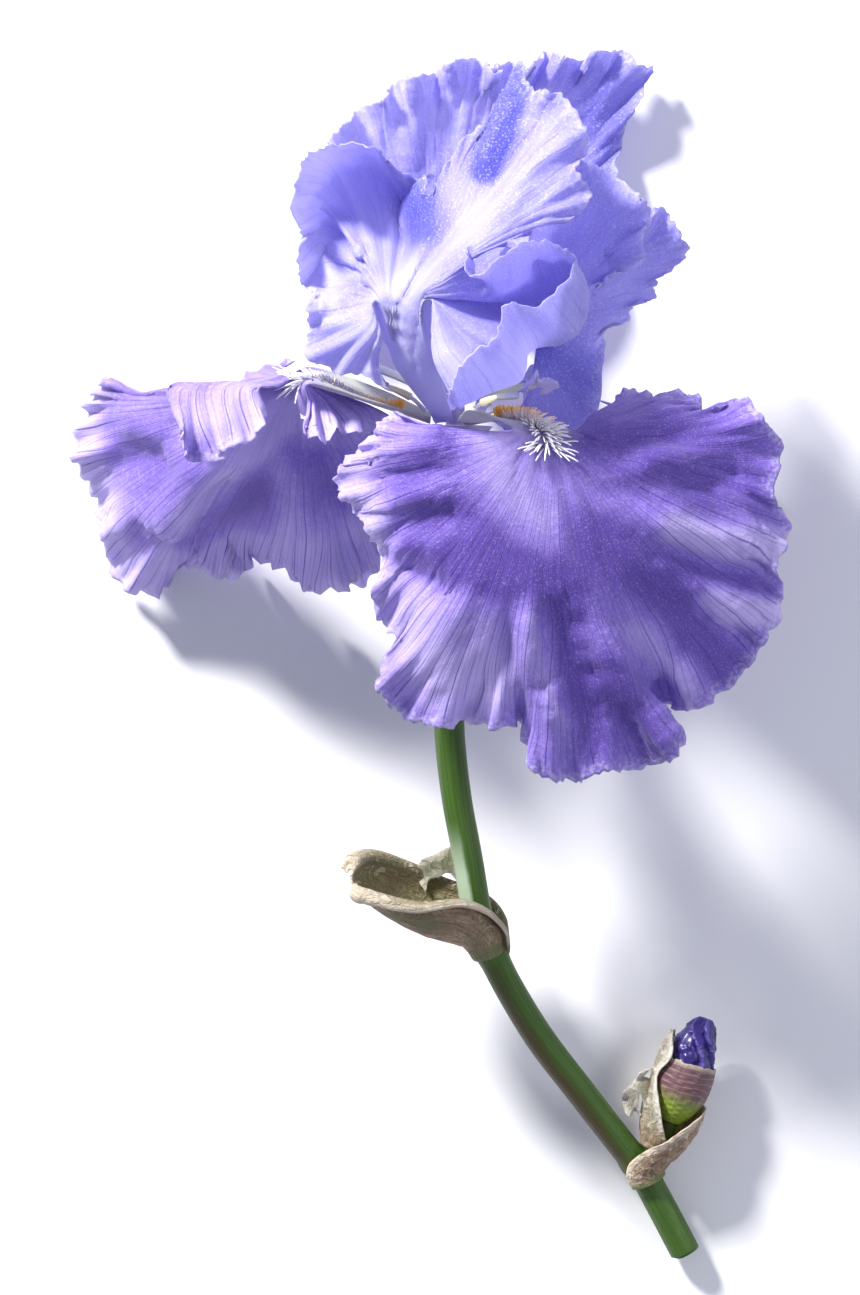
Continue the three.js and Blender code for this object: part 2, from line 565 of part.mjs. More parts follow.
function stamenGeometry([start, middle, end]) {
  const curve = smoothLine([start, middle, end]);
  const antherRadius = (u) => ANTHER_RADIUS * Math.sin(Math.PI * u) ** ANTHER_BLUNTNESS;
  const radiusAt = (u) => (u < ANTHER_START ? FILAMENT_RADIUS : antherRadius(u));
  return loftSolid(ringsAlong(curve, 7, 6, radiusAt));
}

// The stem with its two swollen nodes and the short stalk of the side bud.
function stemGeometry() {
  const curve = smoothLine(STEM_LINE);
  const { places, spread, swell } = STEM_NODES;
  const radiusAt = (u) => places.reduce(
    (radius, node) => radius + swell * Math.exp(-(((u - node) / spread) ** 2)), STEM_RADIUS);
  const shaft = loftSolid(ringsAlong(curve, 28, 10, radiusAt));
  const { line, radius, narrowing } = BUD_STALK;
  const stalk = loftSolid(ringsAlong(smoothLine(line), 5, 8, (u) => radius - narrowing * u));
  return joined([shaft, stalk]);
}

// The ribbed ovary, the perianth tube that flares under the petals, and the column of the style above it.
function ovaryGeometry() {
  const foot = STEM_LINE[0];
  const sides = 12;
  const rings = OVARY_PROFILE.map(([height, radius]) => {
    const share = Math.min(1, (height - foot[1]) / (THROAT[1] - foot[1]));
    const centre = mix(foot, THROAT, share);
    const ribbed = Math.max(0, 1 - Math.abs(height - OVARY_RIBS.middle) / OVARY_RIBS.reach);
    return range(sides).map((j) => {
      const angle = (2 * Math.PI * j) / sides;
      const r = radius * (1 + OVARY_RIBS.depth * ribbed * Math.cos(OVARY_RIBS.count * angle));
      return new THREE.Vector3(centre[0] + r * Math.sin(angle), height, centre[2] + r * Math.cos(angle));
    });
  });
  return loftSolid(rings);
}

function bractGeometry({ rows, columns, stations }) {
  return bladeSolid(sheathSurface(stations), steps(rows, 0, 1), steps(columns, -1, 1), () => BRACT);
}

// The petals of the side bud, rolled round each other into a blunt point.
function furledGeometry() {
  const curve = new THREE.LineCurve3(vector(FURLED.base), vector(FURLED.tip));
  return loftSolid(ringsAlong(curve, 9, 18, (u, angle) => {
    const turn = (FURLED.folds * angle) / (2 * Math.PI) + FURLED.twist * u;
    const fold = 1 - FURLED.foldDepth * (turn - Math.floor(turn));
    const swelling = Math.sin(Math.min(1, u / FURLED.fullAt) * Math.PI * 0.5);
    const taper = FURLED.neck + (1 - FURLED.neck) * swelling - FURLED.narrowing * u ** 4;
    return FURLED.radius * fold * taper;
  }));
}

// --------------------------------------------------------------------------------------------------------
// Colours and assembly
// --------------------------------------------------------------------------------------------------------
const finish = (color, roughness) => new THREE.MeshStandardMaterial({ color, roughness, metalness: 0 });
const FINISHES = {
  fall: finish("#7f6cc8", 0.55),
  standard: finish("#aaa3ee", 0.5),
  beard: finish("#efe7dc", 0.8),
  style: finish("#c9c2f0", 0.5),
  stamen: finish("#f0e3b8", 0.7),
  stem: finish("#4d7a22", 0.45),
  ovary: finish("#7da04a", 0.5),
  paper: finish("#b79a78", 0.8),
  pale: finish("#d9cdb4", 0.85),
  bract: finish("#8a7a4e", 0.6),
  bud: finish("#3b2a8c", 0.4),
};

const flower = new THREE.Group();
function add(name, geometry, material) {
  const mesh = new THREE.Mesh(geometry, material);
  mesh.name = name;
  flower.add(mesh);
}

add("stem", stemGeometry(), FINISHES.stem);
add("ovary_tube", ovaryGeometry(), FINISHES.ovary);
for (const [name, petal] of Object.entries(PETALS)) {
  add(name, petalGeometry(petal), name.startsWith("fall") ? FINISHES.fall : FINISHES.standard);
}
["front", "left", "back"].forEach((side, i) => {
  add(`beard_${side}`, beardGeometry(PETALS[`fall_${side}`], i + 1), FINISHES.beard);
});
for (const [name, arm] of Object.entries(STYLE_ARMS)) {
  add(name, smallBladeGeometry(arm, 2, BLADE), FINISHES.style);
}
for (const [name, line] of Object.entries(STAMENS)) add(name, stamenGeometry(line), FINISHES.stamen);
add("spathe_outer", bractGeometry(BRACTS.spathe_outer), FINISHES.paper);
add("spathe_inner", smallBladeGeometry(SPATHE_INNER, 1, BRACT), FINISHES.pale);
add("bud_lower_bract", bractGeometry(BRACTS.bud_lower_bract), FINISHES.paper);
add("bud_outer_bract", bractGeometry(BRACTS.bud_outer_bract), FINISHES.pale);
add("bud_inner_bract", bractGeometry(BRACTS.bud_inner_bract), FINISHES.bract);
add("bud_petals", furledGeometry(), FINISHES.bud);
flower.position.set(...SHIFT);

export default flower;
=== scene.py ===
"""A cut bearded iris laid on its back: an open bloom, a dried spathe on a bare node and a side bud."""

import bpy
import numpy as np
from bpy.props import FloatProperty, FloatVectorProperty, IntProperty, PointerProperty
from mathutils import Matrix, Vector


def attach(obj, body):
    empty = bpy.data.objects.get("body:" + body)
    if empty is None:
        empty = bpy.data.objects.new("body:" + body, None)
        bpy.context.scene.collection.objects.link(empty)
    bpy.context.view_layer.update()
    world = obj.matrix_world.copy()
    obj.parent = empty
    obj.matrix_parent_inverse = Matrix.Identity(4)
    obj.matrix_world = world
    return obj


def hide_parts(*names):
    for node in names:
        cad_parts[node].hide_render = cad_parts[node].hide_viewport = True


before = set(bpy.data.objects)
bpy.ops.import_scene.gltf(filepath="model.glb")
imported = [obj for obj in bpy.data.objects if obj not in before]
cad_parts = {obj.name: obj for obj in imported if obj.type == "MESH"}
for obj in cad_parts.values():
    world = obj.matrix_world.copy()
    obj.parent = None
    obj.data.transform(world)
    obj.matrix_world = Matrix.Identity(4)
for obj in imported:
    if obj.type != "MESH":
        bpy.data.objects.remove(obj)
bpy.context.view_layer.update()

bl_info = {
    "name": "Bearded iris",
    "version": (1, 0, 0),
    "blender": (4, 5, 0),
    "location": "View3D > Sidebar > Iris",
    "description": "Builds a cut bearded iris round its packed solids",
    "category": "Add Mesh",
}

MM = 0.001
SHIFT = np.array([0.94, 1.755, 0.0])  # from the drawing's origin to the middle of the whole flower
CAMERA_HEIGHT = 1.2
BLOOM_MIDDLE = (0, 0.03, 0.05)  # where the lights point
PHOTO_WIDTH = 860  # pixels
FOCAL_LENGTH = 5227  # in pixels of the photo

# ---- The drawing ----
# It is in millimetres: +Y to the top of the bloom, +Z up from the table.
# A petal is the midline of its claw (base, middle, hub), the direction across it, its half width and channel
# at those three places, and ribs that fan out to the margin: x, y, z, swell and, where it folds, the fold.
PETALS = {
    "fall_front": {
        "claw": [(8.3, 49.8, 50.9), (14.5, 49.5, 68), (24.5, 45.5, 80)],
        "across": (0.87, 0, -0.5), "half": (2.3, 6, 8), "channel": (0.6, 2, 1),
        "ribs": [
            (-7, 50.5, 76, 4), (-10.5, 49.5, 65, 6), (-12.5, 46.5, 71, 8), (-17, 42.5, 60, 8),
            (-19.5, 39.5, 68, 8), (-21, 36.5, 60, 8), (-19.5, 33, 68, 8), (-16.5, 29.5, 58, 10),
            (-14, 26, 72, 8), (-10.5, 19.5, 58, 10), (-13, 13, 70, 8), (-11, 5.5, 56, 8), (-7, 1.5, 68, 9),
            (-10.5, -4.5, 58, 8), (-11.5, -9, 66, 8), (-6.5, -15, 56, 8), (0.5, -17.5, 66, 8),
            (8.5, -16.5, 55, 9), (15, -18, 66, 8), (20, -17.5, 50, 6), (23, -27.5, 66, 10),
            (32, -29.5, 54, 6), (38, -27.5, 66, 10), (46.5, -26.5, 52, 8), (54.5, -22.5, 68, 10),
            (51.5, -13.5, 44, 0), (56.5, -14.5, 60, 8), (68, -7.5, 50, 8), (73, 0.5, 62, 8), (78, 9, 48, 4),
            (76, 16.5, 68, 8), (79, 26, 54, 6), (75, 33, 68, 8), (77, 43.5, 54, 4), (72.5, 50, 66, 4),
            (68.5, 55, 52, 2), (61.5, 51, 64, 3), (57, 56.5, 54, 2), (50, 53.5, 62, 2), (45, 57, 55, 2),
            (40.5, 54.5, 62, 1),
        ],
    },
    "fall_left": {
        "claw": [(-0.1, 50.2, 46), (-12.5, 54, 53), (-27, 58.5, 58)],
        "across": (0, -0.3, 0.95), "half": (2.3, 6, 7), "channel": (0.6, 1.5, 1),
        "ribs": [
            (-29.5, 63, 44, 2), (-36, 62.5, 34, 2), (-42, 59.5, 42, 2), (-35.5, 49, 68, 0, (-37.5, 56, 65)),
            (-39, 44.5, 66, 0, (-41, 56.5, 64)), (-44.5, 43, 71, 2, (-46.5, 57, 61)),
            (-49.5, 41.5, 66, 2, (-51, 57, 58)), (-53, 44, 70, 2, (-54.5, 57, 55)),
            (-54.5, 50.5, 59, 2, (-57, 57, 50)), (-60.5, 56, 30, 10), (-66.5, 54.5, 36, 12),
            (-70.5, 56.5, 24, 14), (-73, 59.5, 34, 14), (-77.5, 55.5, 20, 14), (-80.5, 47, 12, 14),
            (-80.5, 42, 22, 14), (-76, 32.5, 6, 14), (-74.5, 25.5, 18, 14), (-73, 18, 4, 14),
            (-68.5, 12.5, 14, 14), (-62, 12, 4, 14), (-59.5, 17.5, -4, 10), (-54.5, 19.5, 10, 14),
            (-50, 17, 0, 12), (-45, 20.5, 12, 14), (-41, 20, 2, 12), (-34, 18, 16, 14), (-27, 13.5, 6, 12),
            (-21.5, 15.5, 18, 12), (-15.5, 14.5, 10, 10), (-10, 23, 22, 8), (-8.5, 34, 30, 4),
            (-9, 42, 40, 2), (-7.5, 50, 51, 0, (-11.5, 51.8, 52.5)), (-14.5, 46.3, 58, 0), (-19, 47.3, 62, 2),
            (-21.3, 45.8, 65, 2), (-24, 43.8, 67, 2), (-27, 46.5, 66, 2), (-28.5, 51.5, 62, 0),
        ],
    },
    "fall_back": {
        "claw": [(8.3, 49.8, 41.1), (15.5, 51, 25), (26, 48.5, 11)],
        "across": (-0.87, 0, -0.5), "half": (2.3, 6, 7.5), "channel": (0.6, 1.5, 1),
        "ribs": [
            (38.5, 55.5, 20, 0), (50, 55, 10, 0), (61, 51.5, 18, 0), (69.5, 44, 3, 0), (72, 33.5, 12, -1),
            (70.5, 23.5, -1, -1), (66, 13, 6, -2), (62, 1.5, -3, -4), (53.5, -4.5, -2, -5), (46, -10, -4, -5),
            (36.5, -10, -3, -5), (28.5, -8, -4, -5), (20.5, -4.5, -2, -4), (16, 6, -3, -3),
            (11.5, 15.5, 5, -1), (8.5, 27, 0, 1), (11, 38, 12, 1), (16, 45, 12, 0),
        ],
    },
    "standard_front": {
        "claw": [(3, 50.3, 50.4), (-4.5, 64, 64), (-6, 75, 72)],
        "across": (0.87, 0, 0.5), "half": (2.1, 6, 8), "channel": (0.5, 1, 0),
        "ribs": [
            (-8, 55, 62, 0), (-14.5, 58.5, 64, 0), (-21.5, 60, 60, 0), (-28, 63.5, 64, 2), (-26, 68.5, 60, 2),
            (-27.5, 73, 72, 4), (-26, 77.5, 58, 0), (-28.5, 80, 48, -2, (-22, 85, 48)),
            (-29.5, 85, 60, -2, (-24.5, 90, 46)), (-28.5, 90.5, 52, -2, (-22, 94.5, 42)),
            (-30, 95.5, 64, -4, (-24.5, 98, 46)), (-28, 104.5, 58, -4, (-22.5, 103, 40)),
            (-25.5, 108, 66, -6, (-20, 105.5, 42)), (-19.5, 110.5, 58, -6, (-15.5, 106.5, 36)),
            (-12.5, 109, 62, -6, (-11, 106, 36)), (-8.5, 106, 50, -6, (-7.5, 103, 36)),
            (-2.5, 103.5, 46, -4, (-4, 100.5, 38)), (1.5, 103.5, 46, 0), (0, 99, 66, 4), (3.5, 105, 72, 8),
            (8.5, 112.5, 66, 8), (13.5, 114, 68, 8), (16, 123, 48, 2), (20, 128.5, 46, 0),
            (21.5, 122.5, 66, 6), (25, 120, 80, 8), (29, 119, 76, 8), (33.5, 111.5, 84, 8), (34, 106, 74, 8),
            (31, 103, 84, 8), (35, 98, 80, 8), (31.5, 92, 84, 8), (24, 92.5, 80, 8), (20, 84, 90, 6),
            (16, 88.5, 78, 4), (11, 89.5, 70, 4), (7, 83.5, 88, 6), (9.5, 78.5, 92, 6),
            (16.5, 84, 96, 4, (15, 74.5, 76)), (24.5, 86.5, 90, 2, (28, 77, 66)),
            (31, 82.5, 84, 2, (33.5, 73.5, 62)), (23, 72.5, 96, 2, (29.5, 66, 74)),
            (16, 73, 100, 2, (21, 63.5, 80)), (13, 65, 98, 2, (19.5, 57.5, 80)),
            (8.5, 62.5, 96, 2, (13, 54.5, 84)), (4.5, 56.5, 92, 2, (7, 51.5, 82)), (3.5, 50.5, 80, 0),
        ],
    },
    "standard_left": {
        "claw": [(3, 50.3, 41.6), (1.5, 68, 26), (0.5, 82, 9)],
        "across": (1, 0, 0), "half": (2.1, 6, 8), "channel": (0.5, 1, 0),
        "ribs": [
            (-8, 72, 16, 0), (-18, 75, 10, -2), (-25.5, 78.5, 18, -2), (-27.5, 86, 2, -4),
            (-26, 93.5, 16, -4), (-28, 102, 0, -5), (-25.5, 108.5, 16, -5), (-23.5, 116, 0, -5),
            (-20.5, 118.5, 20, -5), (-16, 123.5, 0, -5), (-10.5, 124.5, 24, -5), (-8, 129.5, 0, -5),
            (-3, 130, 24, -5), (1.5, 131.5, 0, -5), (4.5, 133, 24, -5), (11, 134.5, 0, -5),
            (14.5, 130.5, 24, -5), (18.5, 134, 0, -5), (24, 131.5, 24, -5), (26.5, 136.5, 0, -5),
            (30.5, 134, 26, -5), (35, 134, 0, -5), (38, 135.5, 24, -5), (44.5, 136.5, 0, -5),
            (47.5, 133, 18, -5), (51.5, 132.5, 0, -5), (47.5, 124, 14, -5), (44, 116, 0, -5),
            (41.5, 106, 14, -4), (39, 96.5, 1, -4), (33, 85.5, 14, -2), (22.5, 76.5, 16, -2),
            (11.5, 70.5, 22, 0),
        ],
    },
    "standard_right": {
        "claw": [(10.5, 50.3, 46), (15.5, 61, 46), (22, 71, 44)],
        "across": (0.2, -0.2, -0.95), "half": (2.1, 6, 8), "channel": (0.5, 1, 0),
        "ribs": [
            (10.5, 66, 60, 0), (8.5, 76, 58, 0), (15.5, 87, 56, -2), (22, 99, 44, -2), (27, 105.5, 40, -2),
            (30.5, 109, 44, 2), (33.5, 107, 56, 4), (40, 104.5, 52, 4), (46, 99, 60, 6), (48.5, 95.5, 52, 6),
            (47.5, 88.5, 62, 4), (45.5, 84.5, 52, 4), (39, 81.5, 62, 4), (36, 79, 54, 2), (41.5, 81.5, 44, 0),
            (47, 88.5, 34, 0), (49, 96, 40, 0), (52, 98.5, 30, 0), (57, 91.5, 36, 2), (58, 88, 24, 2),
            (51, 81.5, 36, 0), (50.5, 78.5, 26, 2), (46.5, 77, 36, 0), (44, 72.5, 26, 2), (39.5, 72.5, 36, 0),
            (39, 66.5, 28, 0), (36, 49, 31, 0), (21, 46.5, 30, 0), (13.5, 50.5, 38, 0),
        ],
    },
}

STYLE_ARMS = {
    "style_arm_front": {
        "claw": [(6.95, 55, 48.5), (13, 57, 58), (20, 58, 66)],
        "across": (0.87, 0, -0.5), "half": (1, 3, 4), "channel": (-0.3, -1.2, -1.2),
        "ribs": [
            (19, 55, 71, 0), (22, 57, 72.5, 0), (23, 60, 71, 1), (23.5, 57.5, 68.5, 0), (25.5, 58.5, 66, 1),
            (28, 57, 63.5, 0), (24, 55, 61, 0),
        ],
    },
    "style_arm_left": {
        "claw": [(2.6, 55, 46), (-6, 59.8, 49.5), (-14.5, 63.2, 52)],
        "across": (0, -0.2, 0.98), "half": (1, 3, 4), "channel": (-0.3, -0.8, -0.5),
        "ribs": [
            (-13.5, 61.6, 46.5, 0), (-18.5, 64, 46, 0), (-22, 69, 47, 1), (-20, 65.4, 51, 0),
            (-23, 68, 54.5, 1), (-20, 65, 56.5, 0), (-15, 63, 56.5, 0),
        ],
    },
    "style_arm_back": {
        "claw": [(6.95, 55, 43.5), (12, 56.5, 33.5), (16.5, 57.5, 24.5)],
        "across": (-0.87, 0, -0.5), "half": (1, 3, 4), "channel": (-0.3, -1.2, -1.2),
        "ribs": [
            (21, 55, 25.5, 0), (23, 58, 21, 0), (23.5, 64, 18, 1), (20, 59.5, 18.5, 0), (18, 64, 15.5, 1),
            (16, 58.5, 17, 0), (12.5, 55.5, 20.5, 0),
        ],
    },
}

STAMENS = {
    "stamen_front": [(8.9, 51.8, 52.8), (11.6, 53.6, 58.2), (14.6, 54.4, 64.2)],
    "stamen_left": [(-1, 52.2, 46.8), (-4.4, 55.2, 48.8), (-10.4, 57.9, 51)],
    "stamen_back": [(8.9, 51.9, 39.2), (11, 53.6, 35), (13.6, 54.4, 29)],
}

STEM_LINE = [
    (4, 0.5, 46), (4, -4, 45.8), (4.1, -12, 43), (4.5, -21.5, 39), (6, -34, 36), (8.5, -47.5, 33),
    (10.5, -59, 30), (13, -66.5, 28), (17.5, -76, 25), (25, -88.5, 19), (34, -100.5, 14), (42, -111, 10),
    (48, -119, 7), (53, -128, 5), (58.5, -138.5, 3.6),
]
STEM_NODES = (0.455, 0.845)
BUD_STALK = [(48, -119, 7), (51, -115, 8), (53.6, -110, 9), (55.2, -106, 9.5)]
THROAT = (5.5, 48.6, 46)
OVARY_PROFILE = [
    (0.8, 3.2), (5, 4.4), (12, 5.2), (19, 4.9), (25, 3.7), (32, 3.1), (39, 3.6), (44.5, 5.4), (48.2, 7.9),
    (48.8, 7.9), (48.9, 2.4), (52.6, 2.2), (56.2, 1.9),
]

# Sheathing bracts: centre, direction of the opening, radius and half angle of the wrap, base first.
BRACTS = {
    "spathe_outer": [
        ((13.6, -68.2, 27.5), (0.9, 0.3, 0.1), 4.2, 150), ((11, -62.5, 29.4), (0.8, 0.5, 0.1), 6.2, 130),
        ((4.5, -57, 31.5), (0.4, 0.9, 0.1), 9, 102), ((-3, -54, 33.5), (0.4, 0.85, 0.3), 8.8, 92),
        ((-10.5, -51.7, 36), (0.4, 0.75, 0.45), 6.7, 88), ((-15.2, -51, 38), (0.4, 0.7, 0.55), 3.6, 80),
        ((-17.2, -50.8, 38.8), (0.4, 0.7, 0.55), 1.1, 76),
    ],
    "bud_lower_bract": [
        ((49.6, -121.6, 6.7), (-0.87, -0.5, 0), 4.3, 150), ((48.4, -118.6, 7.4), (-0.9, 0, 0), 4.8, 138),
        ((50, -114.5, 8.4), (-0.85, 0.4, 0), 5.6, 106), ((52.2, -111.2, 9.1), (-0.7, 0.6, 0.3), 6.4, 98),
        ((54.2, -107.6, 9.7), (-0.8, 0.5, 0.3), 7.1, 78), ((55.8, -102.6, 10.2), (-0.9, 0.3, 0.25), 7.4, 22),
    ],
    "bud_inner_bract": [
        ((54.6, -107.5, 9.4), (0, 0, -1), 2.6, 165), ((55.8, -104.5, 9.8), (0, 0, -1), 4.6, 165),
        ((56.9, -101.5, 10.1), (0, 0, -1), 5.9, 165), ((58.1, -98, 10.3), (0, 0, -1), 6.2, 165),
        ((59.3, -94.2, 10.4), (0, 0, -1), 6, 158),
    ],
    "bud_outer_bract": [
        ((51.4, -114, 8.6), (0.9, 0.3, 0.1), 3.4, 140), ((53, -109.5, 9.4), (0.9, 0.3, 0.2), 5.4, 104),
        ((55, -104.5, 10), (0.9, 0, 0.25), 6.8, 78), ((57.4, -99, 10.4), (0.9, -0.2, 0.25), 7.3, 48),
        ((59.2, -93.5, 10.6), (0.9, -0.2, 0.2), 7.1, 62), ((60.8, -88.8, 10.6), (0.9, -0.2, 0.1), 6.2, 26),
    ],
}
SPATHE_INNER = {
    "claw": [(9.3, -55.7, 25.2), (7.6, -53.5, 24.9), (5.6, -51.4, 24.6)],
    "across": (0.8, -0.6, 0), "half": (1.5, 2.4, 3), "channel": (0, 0, 0),
    "ribs": [
        (-1, -55, 25, 0), (-3, -51.5, 24, 0), (-2.2, -48, 25, 0.5), (1, -46.5, 24, 0.5), (4.5, -44.8, 25, 0),
        (7, -46, 24, 0), (8.5, -50, 24.5, 0), (9.2, -53, 24.5, 0),
    ],
}
TORN_FLAP = {
    "claw": [(51.2, -101.5, 12.4), (49.6, -101, 13.2), (48.2, -100.8, 13.2)],
    "across": (-0.2, 0.9, 0), "half": (3.4, 3.6, 3.4), "channel": (0, 0.2, 0.4),
    "ribs": [
        (50.2, -95.6, 12, 0), (47.6, -96.6, 14.5, 0), (46.4, -98.8, 11.5, 0.5), (44, -100.8, 13.5, 0.5),
        (43.8, -103.4, 11, 0.5), (45, -106.6, 13, 0), (46.6, -105.4, 10.8, 0), (48.2, -106.4, 12, 0),
    ],
}
FURLED = {"base": (56.4, -103, 10), "tip": (62.8, -84.4, 10.6), "radius": 5.2}

# How strongly each petal is ruffled at its margin
RUFFLED = {
    "fall_front": 1.0, "fall_left": 1.25, "fall_back": 0.8,
    "standard_front": 0.9, "standard_left": 0.8, "standard_right": 0.45,
}

# How much of the drawing's waves a petal's margin keeps
MARGIN_WAVE = {
    "fall_front": 0.47, "fall_left": 0.7, "fall_back": 0.8,
    "standard_front": 0.42, "standard_left": 0.3, "standard_right": 0.5,
}
CALM_REACH = 4  # how many ribs to each side even out a margin's waves
BELLY, SHOULDER = 0.45, 0.8  # how far from the hub towards the margin a rib's two middle points lie
FOLD_BELLY = 0.55  # the same for the belly of a folded rib, towards its fold
SHOULDER_SWELL = 0.55  # the share of a rib's swell that its shoulder keeps
WAVE_AT_SHOULDER = 0.25  # the share of the margin's waves that reaches a petal's shoulder
FLAP_SHARE = 0.35  # the share of the ruffles that a folded flap keeps
PETAL_ROWS = 84
RIB_COLUMNS = 9  # columns from one rib of a petal to the next
BRACT_ROWS, BRACT_COLUMNS = 90, 110
ROW_SPACING = 0.88  # below 1, so that a petal's rows lie closer together towards its margin
RUFFLE_REACH, FRILL_REACH, NIBBLE_REACH = 9, 3.2, 2.5  # from the margin, in mm
ROLL_TURN = 3.6  # how far a rolled rim turns, in radians
ROLL_STRETCH = 1.28  # how much further than the drawing a bract wraps, for the rim that is rolled up
WIDEST_WRAP = 176  # degrees to each side, so that a bract's margins never cross
SETTLING = 1.2  # softness of the bend where a sheet comes to lie on the table, in square mm
LOWEST = 0.01  # the least height of a sheet's underside above the table
CUT_END = -139.6  # how far down the stem's cut end reaches

BEARD_ROWS, BEARD_COLUMNS = 121, 61
BEARD_END = 0.435  # the share of a fall's length where its beard ends
HAIR_SIDES = 5
HAIR_STEPS = np.array([0, 0.25, 0.5, 0.75, 0.95, 1])
HAIR_TAPER = np.array([1, 0.95, 0.9, 0.8, 0.62, 0.15])

# Painted light and painted shade on a petal: paler colour (above 0) where it would be lit, deeper colour
# where a shadow would fall; strength, reach, and the line that it follows from above.
PAINTED_LIGHT_AND_SHADE = {
    "fall_front": [
        (0.45, 6, [(14, 42), (17, 34), (23, 27)]), (-1.1, 6, [(2, 30), (10, 24), (20, 17), (29, 13)]),
        (-0.9, 4, [(-3, 22), (6, 17), (14, 14)]), (0.7, 4.5, [(-14, 44), (-17, 36), (-12, 27), (-13, 17)]),
        (-0.9, 4.5, [(3, 45), (-5, 36)]), (0.8, 8, [(-5, 6), (0, -4), (8, -10)]),
        (0.45, 5, [(12, 4), (14, -8)]), (0.45, 2.5, [(21, 8), (24, -4), (29, -16)]),
        (-0.85, 4, [(29, 6), (31, -8), (36, -20)]), (-0.9, 4.5, [(38, -4), (44, -14), (49, -21)]),
        (0.6, 4, [(46, 3), (52, -4), (56, -10)]), (-0.8, 7, [(36, 44), (48, 40), (58, 34)]),
        (-0.7, 6, [(50, 48), (64, 44), (70, 36)]), (1.3, 3.8, [(53, 26), (63, 22.5), (74, 22)]),
        (-0.7, 2.5, [(53, 18), (63, 16), (74, 13)]), (1.2, 3.4, [(60, 10), (66, 8), (74, 8)]),
        (-1.2, 6, [(36, 24), (44, 17), (54, 10)]), (-1, 5, [(58, 2), (64, -4)]),
    ],
    "fall_left": [
        (1.3, 4.5, [(-78, 56), (-79, 44), (-75, 34), (-73, 22), (-66, 14)]),
        (1.3, 4.5, [(-58, 19), (-48, 20), (-38, 19), (-28, 16), (-17, 16), (-12, 24)]),
        (0.9, 7, [(-44, 22), (-28, 20), (-16, 22)]), (1.1, 4, [(-32, 52), (-42, 40), (-54, 27)]),
        (-1.2, 4, [(-40, 35), (-45, 31), (-53, 24)]), (-0.4, 4, [(-36, 34), (-38, 28)]),
        (-0.45, 6, [(-64, 46), (-56, 40)]), (-0.3, 6, [(-26, 42), (-24, 30)]),
        (0.4, 3, [(-33, 38), (-32, 28)]), (0.8, 5, [(-24, 48), (-14, 48)]), (0.55, 6, [(-40, 52), (-52, 48)]),
    ],
    "fall_back": [],
    "standard_front": [
        (0.7, 5, [(-7, 51), (-9.7, 66), (-5.4, 78)]), (0.15, 8, [(8, 98), (20, 106), (29, 112)]),
        (0.45, 7, [(-10, 68), (-3, 80), (8, 92)]),
        (-2, 3, [(19.8, 127), (17.1, 117.4), (14.7, 110.1), (12, 103)]), (-0.35, 4, [(30, 112), (27, 118)]),
        (-1.2, 5, [(-3, 99), (-1, 90)]), (0.8, 6, [(-21, 105), (-14, 101), (-11, 92)]),
        (1.3, 6, [(-27, 104), (-28, 92), (-25, 80)]), (0.3, 5, [(-22, 72), (-18, 64)]),
        (0.8, 7, [(6, 64), (14, 59), (22, 63)]), (-0.5, 3, [(7, 66), (12, 63)]),
    ],
    "standard_left": [
        (0.45, 8, [(-14, 118), (-2, 122), (8, 120)]), (-0.55, 9, [(40, 128), (42, 112)]),
    ],
    "standard_right": [
        (-0.2, 6, [(40, 100), (44, 90)]), (-0.85, 8, [(22, 66), (36, 60)]), (-0.3, 5, [(56, 90)]),
    ],
}

